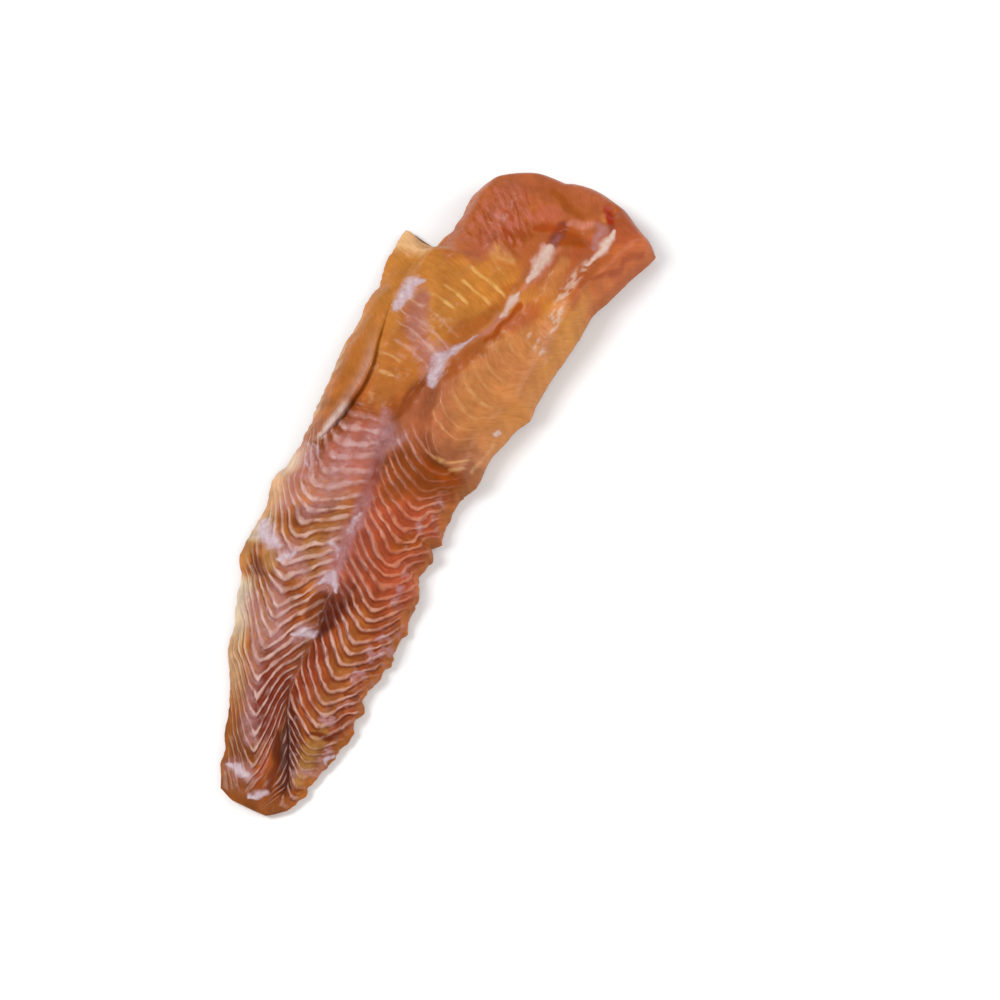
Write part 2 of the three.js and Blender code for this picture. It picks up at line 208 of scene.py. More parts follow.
# Where along the midline each flake's pale edge starts, on the belly side and the back side.
BELLY_FLAKES = [
    -160, -156, -152, -148, -144, -140, -136, -132, -128, -124, -120, -115, -110, -106, -102,
    -99, -95, -91, -87, -82, -77, -71, -66, -61, -56, -53, -49, -45, -41, -36, -31, -26, -22,
    -18, -13, -8, -2, 2, 7, 12, 16, 22, 28, 33.5, 38, 44, 48.5, 54, 59.5, 64.5, 70, 76, 82, 87,
    92, 97, 102, 106, 111, 115, 120, 124, 129, 133, 138, 143, 150, 160, 170, 180,
]
BACK_FLAKES = [
    -160, -155, -150, -146, -142, -138, -133, -128, -123, -119, -116, -112, -108, -104, -98,
    -92, -86, -81, -76, -71, -66, -61, -57, -52, -48, -43, -39, -34, -30, -25, -20, -16, -11,
    -6, -2, 2, 6, 12, 18, 24.5, 33.5, 39.5, 45.5, 53, 60, 66, 72, 78, 84, 90, 96, 102, 108, 114,
    120, 126, 132, 138, 144, 150, 160, 170, 180,
]

# The folded belly flap and the thin pointed tab that it ends in. A run is where along the
# fillet something begins, is there in full, starts to fade, and is gone.
fold_edge = curve([
    (-142, -4), (-60, 26), (-30, 34), (-9, 36.5), (-4, 32.6), (0, 31), (10, 28.9), (21, 27.8),
    (32, 28.8), (40, 31), (48, 33), (60, 34.8), (75, 36.6), (90, 37.5), (100, 24), (142, 16),
])
FOLD_RUN = (-10, 8, 28, 70)
FOLD_THICKNESS = 2.2
FOLD_SWELL = 0.25
TAB_BEGINS = (64, 84)
TAB_INSIDE = (30, 37)
TAB_THINNING = 0.62

# Round spots of the form are (along, across, depth or height, radius).
NOTCH_RUN = (50, 76, 104, 130)
NOTCH_CUT = (96.5, 35.5, 4.6, 6)
NOTCH_DENT = (95, 31.5, 5.5, 7)
PIT = (131, -26.5, 2.2, 3.2)
LUMPS = [
    (-62, 36, 1.3, 4.5), (-69, 30, -1.5, 3.5), (-29, -25.5, 1.6, 3), (-22, -24.5, 1.2, 3),
    (-68, -27, 1.2, 4), (-80, -27, 0.9, 3), (-96, -27, 0.9, 3), (1, -24, 1.4, 4),
]

# The loin's rounded end and the dent across the head end, as (across, along), the dent beside
# the corner, and the groove's depth.
loin_edge = curve([
    (-30, 2.4), (-24, 2.6), (-18, 3.2), (-13, 4.8), (-9, 7.8), (-6.5, 10.8), (-3.5, 18), (-1, 28),
    (1, 36), (4, 52),
])
LOIN_STEP = 2.8
LOIN_SOFTNESS = 1.3
LOIN_FADES = (15, 62)
head_dent = curve([
    (-40, 117), (-22, 115), (-15, 115), (-7, 111), (2, 107), (10, 106), (19, 107), (30, 110),
])
HEAD_DENT_DEPTH = 1.7
HEAD_DENT_WIDTH = 4
corner_dent = curve([
    (50, -17), (60, -19), (80, -23.5), (95, -27), (110, -29), (127, -27), (142, -24),
])
CORNER_DENT_DEPTH = 1.2
CORNER_DENT_WIDTH = 3.4
groove_depth = curve([
    (-142, 0.8), (-118, 2.2), (-78, 2.2), (-55, 1.1), (20, 1), (50, 1.5), (85, 1.8), (112, 1),
    (124, 0),
])
GROOVE_WIDTH = 2.6

# A flake's relief: how high its edge stands, and where in a flake its deepest place is.
RIDGE = 0.4
VALLEY = 0.72

# The search for the flake that passes a place.
SEARCH_ROUNDS = 8
LEAST_SLOPE = 0.4

# Soft random bumps, layer by layer: how strong, how wide, and the number that picks them.
FLAKE_WAVER = [(0.2, 8, 51), (0.1, 3.6, 52)]
RIM_WAVER = [(0.6, 3.4, 31), (0.4, 1.5, 32)]
SOFT_BUMPS = [(0.45, 14, 3), (0.22, 5.5, 4), (0.1, 2.2, 5)]
RAGGED_BUMPS = [(0.5, 2.1, 6), (0.6, 4.5, 7)]
BLOTCHES = [(0.09, 13, 11), (0.09, 5, 12), (0.06, 2, 14)]

# Single layers, whose strength is set where they are used.
FRILL_BUMPS = (2.1, 6)
HOLLOWS = (16, 8)
SMALL_HOLLOWS = (5, 9)
SKIN_BUMPS = (12, 13)
SPECKLE_BUMPS = (1.6, 15)
FLECK_BUMPS = (1.9, 16)
SIDE_BUMPS = (4, 23)
FILM_BUMPS = (4, 45)

# How far the sides wave in and out, and how much less beside the loin, then the runs where they
# do and where the back is ragged.
BACK_WAVES = 1.9
LOIN_CALM = 1.6
BELLY_WAVES = 0.6
WAVES_RUN = (-138, -128, 120, 132)
RAGGED_RUN = (-136, -124, -14, 4)


def ease(low, high, value):
    """Rises smoothly from 0 at the low value to 1 at the high one."""
    t = np.clip((value - low) / (high - low), 0, 1)
    return t * t * (3 - 2 * t)


def between(run, value):
    """Rises over the first two places of a run and falls over the last two."""
    return ease(run[0], run[1], value) * (1 - ease(run[2], run[3], value))


def bell(distance, width):
    """1 at no distance, and about a third at the width."""
    return np.exp(-((distance / width) ** 2))


def quarter_round(distance, radius):
    """The height of a rounded edge over its foot, as a share of the radius."""
    t = np.clip(distance / radius, 0, 1)
    return np.sqrt(1 - (1 - t) ** 2)


def spot(x, y, place):
    """A soft round spot, from (along, across, depth, radius)."""
    return place[2] * bell(np.hypot(x - place[0], y - place[1]), place[3])


def ripples(x, y, size, seed):
    """Soft bumps of one size, from -1 to 1, the same on every run."""
    cells = 64
    heights = np.random.default_rng(seed).uniform(-1, 1, (cells, cells))
    column, row = np.floor(x / size).astype(int), np.floor(y / size).astype(int)
    u, v = ease(0, 1, x / size - column), ease(0, 1, y / size - row)
    left, right = column % cells, (column + 1) % cells
    near, far = row % cells, (row + 1) % cells
    low = heights[left, near] * (1 - u) + heights[right, near] * u
    high = heights[left, far] * (1 - u) + heights[right, far] * u
    return low * (1 - v) + high * v


def bumps(x, y, layers):
    """Layers of soft bumps added up."""
    return sum(height * ripples(x, y, size, seed) for height, size, seed in layers)


def flake_bend(along, across):
    """How far a flake has run headward from where it leaves the midline."""
    belly = across > 0
    dip = np.where(belly, belly_dip(along), back_dip(along))
    rise = np.where(belly, belly_rise(along), back_rise(along))
    turn = np.where(belly, belly_turn(along), back_turn(along))
    bow = np.where(belly, BELLY_BOW, back_bow(along))
    out = np.abs(across)
    inner = -dip * (1 - np.clip(1 - out / turn, 0, 1) ** bow)
    outer = rise * np.clip((out - turn) / (1 - turn), 0, 1) ** SWEEP
    return inner + outer


def flake_start(x, across):
    """Where along the midline the flake that passes a place starts."""
    start = x
    for _ in range(SEARCH_ROUNDS):
        miss = start + flake_bend(start, across) - x
        slope = 1 + flake_bend(start + 0.5, across) - flake_bend(start - 0.5, across)
        start = start - miss / np.maximum(slope, LEAST_SLOPE)
    return start


def flake_count(x, across):
    """How many flakes lie tailward of a place. Whole numbers are the flakes' edges."""
    start = flake_start(x, across)
    belly = np.interp(start, BELLY_FLAKES, np.arange(len(BELLY_FLAKES)))
    back = np.interp(start, BACK_FLAKES, np.arange(len(BACK_FLAKES)))
    return np.where(across > 0, belly, back)


def flake_waver(x, y):
    """Small shifts of the flakes' edges, as a share of a flake."""
    return (1 - 0.6 * ease(-4, 14, x)) * bumps(x, y, FLAKE_WAVER)


def lengthwise(along, across):
    """How far along the fillet a row is: it bends with the flakes, and less near the ends."""
    from_tail, from_head = along + HALF_LENGTH, HALF_LENGTH - along
    tail_share = 1 - ease(0, TAIL_SHAPE, from_tail)
    head_share = 1 - ease(0, HEAD_SHAPE, from_head)
    calm = ease(0, TAIL_CALM, from_tail) * (1 - head_share)
    tail_shape = (tail_end(across) + HALF_LENGTH) * tail_share
    head_shape = (head_end(across) - HALF_LENGTH) * head_share
    return along + calm * flake_bend(along, across) + tail_shape + head_shape


def rim_waver(x, y, across):
    """Small ragged waves along the two sides."""
    place = between(WAVES_RUN, x) * ease(0.8, 1, np.abs(across))
    back_waves = BACK_WAVES - LOIN_CALM * ease(-8, 10, x)
    return place * np.where(across < 0, back_waves, BELLY_WAVES) * bumps(x, y, RIM_WAVER)


def plan(along, across):
    """The place on the floor plan. Near the notch a row aims at the edge where it will end."""
    x = lengthwise(along, across)
    near_notch = between(NOTCH_RUN, along)
    aim = x + near_notch * (lengthwise(along, np.ones_like(x)) - x)
    edge = np.where(across > 0, belly_edge(aim), back_edge(x))
    y = midline(x) + (edge - midline(x)) * np.abs(across)
    return x - spot(x, y, NOTCH_CUT), y + rim_waver(x, y, across)


def body_height(x, across):
    """The five height lines and the two shoulders joined across the fillet."""
    back_rim, loin = back_rim_height(x), back_loin_height(x)
    belly, belly_rim = belly_height(x), belly_rim_height(x)
    back_side = back_rim + BACK_SHOULDER * (loin - back_rim)
    belly_side = belly_rim + BELLY_SHOULDER * (belly - belly_rim)
    middle = midline_height(x)
    lines = np.stack([back_rim, back_side, loin, middle, belly, belly_side, belly_rim])
    slopes = slopes_of(np.diff(lines, axis=0) / np.diff(SECTION)[:, None])
    i = np.clip(np.searchsorted(SECTION, across, side="right") - 1, 0, len(SECTION) - 2)
    point = np.arange(len(x))
    width = SECTION[i + 1] - SECTION[i]
    t = (across - SECTION[i]) / width
    start, end = lines[i, point], lines[i + 1, point]
    return smooth_piece(t, width, start, end, slopes[i, point], slopes[i + 1, point])


def loin_distance(x, y):
    """How far a place is inside the loin's rounded end."""
    steepness = loin_edge(y + 0.5) - loin_edge(y - 0.5)
    return (x - loin_edge(y)) / np.hypot(1, steepness)


def on_loin(low, high, x, y):
    """Rises from 0 to 1 across the loin's rounded end. The loin lies on the back side, and stops
    just over the midline."""
    return ease(low, high, loin_distance(x, y)) * (1 - ease(1, 5, y))


def loin_height(x, y):
    """How far the loin stands above the flesh tailward of its rounded end."""
    return LOIN_STEP * (1 - ease(*LOIN_FADES, x)) * on_loin(-LOIN_SOFTNESS, LOIN_SOFTNESS, x, y)


def creases(x, y):
    """The groove where the two rows of muscle meet, and the dents at the head end."""
    middle = groove_depth(x) * bell(y - midline(x), GROOVE_WIDTH)
    head_share = (1 - ease(6, 28, y)) * ease(-34, -20, y)
    across = HEAD_DENT_DEPTH * bell(x - head_dent(y), HEAD_DENT_WIDTH) * head_share
    corner = CORNER_DENT_DEPTH * ease(50, 90, x) * bell(y - corner_dent(x), CORNER_DENT_WIDTH)
    return middle + across + corner + spot(x, y, PIT) + spot(x, y, NOTCH_DENT)


def flake_relief(x, y, across, phase):
    """A flake slopes down headward from its pale edge, and the next edge stands up steeply."""
    back_calm = 0.4 * ease(-30, -12, x) + 0.4 * ease(4, 20, x)
    calm = np.where(across < 0, back_calm, ease(12, 24, x))
    ends = ease(-142, -130, x) * (1 - 0.85 * ease(70, 112, x))
    smooth_tail = 1 - strongest(x, y, SMOOTH_TAIL)
    sides = 1 - 0.8 * ease(0.84, 1, np.abs(across))
    middle = ease(0.01, 0.07, np.abs(across))
    height = RIDGE * (1 - calm) * ends * smooth_tail * sides * middle
    slope = 1 - ease(0, VALLEY, phase)
    step = ease(VALLEY, 1, phase)
    return height * (np.maximum(slope, step) - 0.5)


def fold_presence(x):
    """How much of the fold stands up at a place along the fillet."""
    return between(FOLD_RUN, x)


def side_distance(x, across):
    """How far a place is from the side that it is nearer to."""
    edge = np.where(across > 0, belly_edge(x), back_edge(x))
    return (1 - np.abs(across)) * np.abs(edge - midline(x))


def end_distance(along):
    return HALF_LENGTH - np.abs(along)


def top_height(x, y, along, across, phase, lip):
    """The top's height. The lip is how much of the fold's height a place has."""
    side = quarter_round(side_distance(x, across), SIDE_ROUNDING)
    end = quarter_round(end_distance(along), END_ROUNDING)
    swell = 1 + FOLD_SWELL * bell(y - fold_edge(x) - 3, 3)
    fold = FOLD_THICKNESS * fold_presence(x) * lip * swell
    flesh = body_height(x, across) + loin_height(x, y) + fold - creases(x, y)
    relief = flake_relief(x, y, across, phase) * (1 - ease(0.5, 1.5, fold))
    ragged_back = between(RAGGED_RUN, x) * ease(0.72, 0.92, -across)
    frills = 0.9 * ease(0.15, 0.7, strongest(x, y, FRILLS)) * ripples(x, y, *FRILL_BUMPS)
    ragged = ragged_back * bumps(x, y, RAGGED_BUMPS) + frills
    tab = ease(*TAB_BEGINS, x) * ease(*TAB_INSIDE, y)
    full = np.maximum((flesh + relief - RIM_HEIGHT) * (1 - TAB_THINNING * tab), LEAST_HEIGHT)
    lumps = sum(spot(x, y, lump) for lump in LUMPS)
    small = lumps + bumps(x, y, SOFT_BUMPS) + ragged
    return RIM_HEIGHT + full * side * end + small * side * end


def underside_height(x, y, along, across):
    """Flat where the fillet rests, rounding up to the rim, with a few shallow hollows."""
    distance = np.minimum(side_distance(x, across), end_distance(along))
    rise = (RIM_HEIGHT - RIM_GAP) * (1 - quarter_round(distance, UNDERSIDE_ROUNDING))
    inner = ease(4, 12, distance)
    hollows = 0.7 * np.maximum(0, ripples(x, y, *HOLLOWS) - 0.15)
    small_hollows = 0.12 * (1 + ripples(x, y, *SMALL_HOLLOWS))
    return rise + inner * (hollows + small_hollows)


def row_place(row):
    return (2 * row / ROWS - 1) * HALF_LENGTH


def fold_guide():
    """For each row, the share of the way to the belly edge where it meets the fold's free edge,
    the width of the belly side there, and how far the fold is there."""
    along = row_place(np.arange(ROWS + 1))
    low, high = (np.full_like(along, share) for share in GUIDE_RANGE)
    for _ in range(GUIDE_HALVINGS):
        share = (low + high) / 2
        x, y = plan(along, share)
        past = y > fold_edge(x)
        low, high = np.where(past, low, share), np.where(past, share, high)
    padded = np.pad(share, GUIDE_ROWS // 2, mode="edge")
    share = np.convolve(padded, np.full(GUIDE_ROWS, 1 / GUIDE_ROWS), mode="valid")
    x, _ = plan(along, share)
    return share, belly_edge(x) - midline(x), fold_presence(x)


def column_places(row, column, folded):
    """A column's place across on each row, and its share of the fold's height."""
    guide, width, presence = (values[row] for values in fold_guide())
    presence = presence * folded
    back = (1 - (BACK_COLUMNS - column) / BACK_COLUMNS) ** BACK_CROWDING - 1
    reach = LIP_PLAIN[-1] + LIP_MARGIN
    inner = (column - BACK_COLUMNS) / INNER_COLUMNS * (guide - reach / width)
    lip = np.clip(column - BACK_COLUMNS - INNER_COLUMNS - 1, 0, LIP_COLUMNS - 1)
    past = LIP_PLAIN[lip] + presence * (LIP_FOLDED[lip] - LIP_PLAIN[lip])
    first_outer = BACK_COLUMNS + INNER_COLUMNS + LIP_COLUMNS
    t = np.clip((column - first_outer) / OUTER_COLUMNS, 0, 1)
    outer_start = guide + reach / width
    outer = outer_start + (1 - (1 - t) ** OUTER_CROWDING) * (1 - outer_start)
    is_lip = (column > BACK_COLUMNS + INNER_COLUMNS) & (column <= first_outer)
    places = np.where(column < BACK_COLUMNS, np.minimum(back, 0), np.minimum(inner, 1))
    places = np.where(is_lip, guide + past / width, places)
    places = np.where(column > first_outer, outer, places)
    share = np.where(is_lip, LIP_SHARE[lip], np.where(column > first_outer, 1, 0))
    return np.clip(places, -1, 1), share


def new_slab():
    """A closed slab whose top has a column and a row for every step across and along."""
    bpy.ops.mesh.primitive_grid_add(
        x_subdivisions=ROWS // 2, y_subdivisions=COLUMNS // 2, size=2
    )
    piece = bpy.context.object
    piece.name = "fillet_flesh"
    bpy.ops.object.mode_set(mode="EDIT")
    bpy.ops.mesh.select_all(action="SELECT")
    bpy.ops.mesh.extrude_region_move(TRANSFORM_OT_translate={"value": (0, 0, 1)})
    bpy.ops.mesh.subdivide(number_cuts=1)
    bpy.ops.object.mode_set(mode="OBJECT")
    return piece


def read_vertices(mesh):
    flat = np.empty(len(mesh.vertices) * 3)
    mesh.vertices.foreach_get("co", flat)
    return flat.reshape(-1, 3)


def shape_slab(piece):
    """Moves each vertex of the slab to its place, and returns what the painting needs."""
    slab = read_vertices(piece.data)
    row = np.rint((slab[:, 0] + 1) / 2 * ROWS).astype(int)
    column = np.rint((slab[:, 1] + 1) / 2 * COLUMNS).astype(int)
    top = slab[:, 2] > 0.5
    along = row_place(row)
    across, lip = column_places(row, column, top)
    x, y = plan(along, across)
    count = flake_count(x, across) + flake_waver(x, y)
    high = top_height(x, y, along, across, count % 1, lip)
    low = underside_height(x, y, along, across)
    z = np.where(top, high, low)
    places = np.stack([x, y, z], 1) * MM
    piece.data.vertices.foreach_set("co", places.ravel())
    piece.data.update()
    return {"x": x, "y": y, "across": across, "count": count, "top": top}


def finish_mesh(piece):
    """Triangles, faces turned outward, and smooth shading."""
    bpy.ops.object.select_all(action="DESELECT")
    piece.select_set(True)
    bpy.context.view_layer.objects.active = piece
    bpy.ops.object.mode_set(mode="EDIT")
    bpy.ops.mesh.select_all(action="SELECT")
    bpy.ops.mesh.quads_convert_to_tris(quad_method="SHORTEST_DIAGONAL", ngon_method="BEAUTY")
    bpy.ops.mesh.normals_make_consistent(inside=False)
    bpy.ops.object.mode_set(mode="OBJECT")
    bpy.ops.object.shade_smooth()


# Colours as the eye sees them, from 0 to 255: the flesh, the pale lines between its flakes, the
# streaks, fibres, films and fat in and on it, and painted shade beside the lines.
PALETTE = {
    "tail brown": (142, 78, 34), "bark": (80, 32, 10), "deep brown": (90, 32, 12),
    "wine": (122, 42, 22), "rosewood": (142, 76, 58), "brown": (142, 70, 28),
    "red brown": (144, 58, 32), "orange brown": (166, 84, 32), "seam": (166, 74, 14),
    "russet": (160, 79, 41), "red orange": (175, 81, 51), "flame": (164, 60, 12),
    "ochre": (176, 104, 50), "khaki": (182, 132, 72), "amber": (184, 110, 48),
    "lobe": (198, 126, 54), "gold": (212, 140, 66), "tab": (238, 188, 136),
    "flesh": (164, 92, 58), "loin end": (186, 112, 74), "loin": (204, 132, 76),
    "salmon": (194, 104, 74), "shell": (218, 146, 102), "pink": (204, 128, 108),
    "mauve": (160, 108, 116), "plum": (140, 68, 52), "rose brown": (172, 92, 66),
    "cap": (182, 98, 54), "tan": (184, 120, 72), "straw": (232, 176, 112),
    "cream": (230, 210, 182), "lilac": (196, 150, 148), "pearl": (226, 204, 198),
    "ember": (214, 114, 64), "pit": (168, 44, 6), "tail line": (221, 171, 156),
    "back line": (218, 142, 114), "belly line": (224, 184, 172),
    "belly tail line": (200, 154, 124), "belly middle line": (208, 160, 154),
    "belly rim line": (220, 190, 154), "loin line": (228, 172, 116),
    "lobe line": (240, 192, 116), "strand": (212, 158, 138), "streak": (126, 48, 12),
    # The last colour of the next line is painted shade, the shadow tailward of each pale line.
    "mottle": (150, 66, 18), "thread": (146, 66, 22), "valley_shade": (108, 38, 6),
    "pink fibre": (202, 114, 98), "dark fibre": (158, 66, 30), "haze": (186, 134, 138),
    "hazy line": (222, 188, 192), "thin film": (200, 172, 186), "film": (224, 210, 220),
    "fat edge": (208, 138, 120), "thin fat": (220, 186, 172), "fat": (232, 208, 198),
}

# How much brighter the studio's light shows each of red, green and blue, and the light that
# the moist surface adds.
LIGHT = np.array([1.3, 1.32, 1.38])
VEIL = 0.005

# The ground colour along the back side and along the belly side.
BACK_TINTS = [
    (-142, "tail brown"), (-118, "tail brown"), (-100, "russet"), (-62, "russet"),
    (-48, "red orange"), (-20, "red orange"), (-10, "russet"), (0, "brown"), (10, "flesh"),
    (30, "flesh"), (42, "loin"), (66, "loin"), (78, "gold"), (92, "cap"), (142, "cap"),
]
BELLY_TINTS = [
    (-142, "tail brown"), (-118, "tail brown"), (-98, "ochre"), (-60, "ochre"), (-30, "ochre"),
    (-8, "rose brown"), (6, "rose brown"), (16, "orange brown"), (28, "amber"), (46, "lobe"),
    (84, "lobe"), (100, "cap"), (142, "cap"),
]

# How pale the belly rim is along the fillet.
rim_paleness = curve([
    (-142, 0), (-114, 0), (-106, 0.35), (-97, 0.5), (-91, 0.45), (-84, 0.8), (-68, 1),
    (-46, 0.8), (-37, 0.4), (-26, 0.5), (-16, 0.85), (-5, 0.2), (5, 0), (142, 0),
])

# Runs along the fillet of what is painted, and two across it: the fan's in shares of the way
# from the midline to an edge, and the fibres' in millimetres.
PALE_RIM_GAP = (-67, -62, -53, -49)
BACK_RIM_RUN = (-142, -130, 0, 20)
LOIN_RIM_RUN = (20, 34, 84, 96)
LIP_RUN = (-4, 3, 30, 60)
LIP_LINE_RUN = (-7, -3, 9, 15)
SEAM_RUN = (-132, -122, -60, -50)
SPECKLE_RUN = (-56, -46, 6, 14)
LINES_RUN = (-141, -130, 4, 16)
MIDDLE_LINES_RUN = (-30, -14, 14, 20)
RIM_LINES_RUN = (-106, -94, -40, -20)
STRANDS_RUN = (37, 40, 56, 66)
FAN_RUN = (8, 18, 56, 76)
FAN_ACROSS = (-0.9, -0.76, -0.4, -0.3)
BELLY_THICK_RUN = (-100, -88, 12, 20)
BACK_THICK_RUN = (-64, -50, -16, -4)
FIBRES_RUN = (90, 100, 118, 129)
FIBRES_ACROSS = (-5, 1, 19, 27)

# Half the width of a pale line, as a share of a flake, and how much it grows and shrinks.
LINE_WIDTH = 0.14
LINE_GROWS = 0.05
LINE_SHRINKS = 0.03

# How far what is painted wavers to and fro, how wide its waves are, and what picks them.
PATCH_WAVER = (1.3, 5, 21)
HAZE_WAVER = (1.5, 5, 41)
FILM_WAVER = (0.9, 2.6, 43)

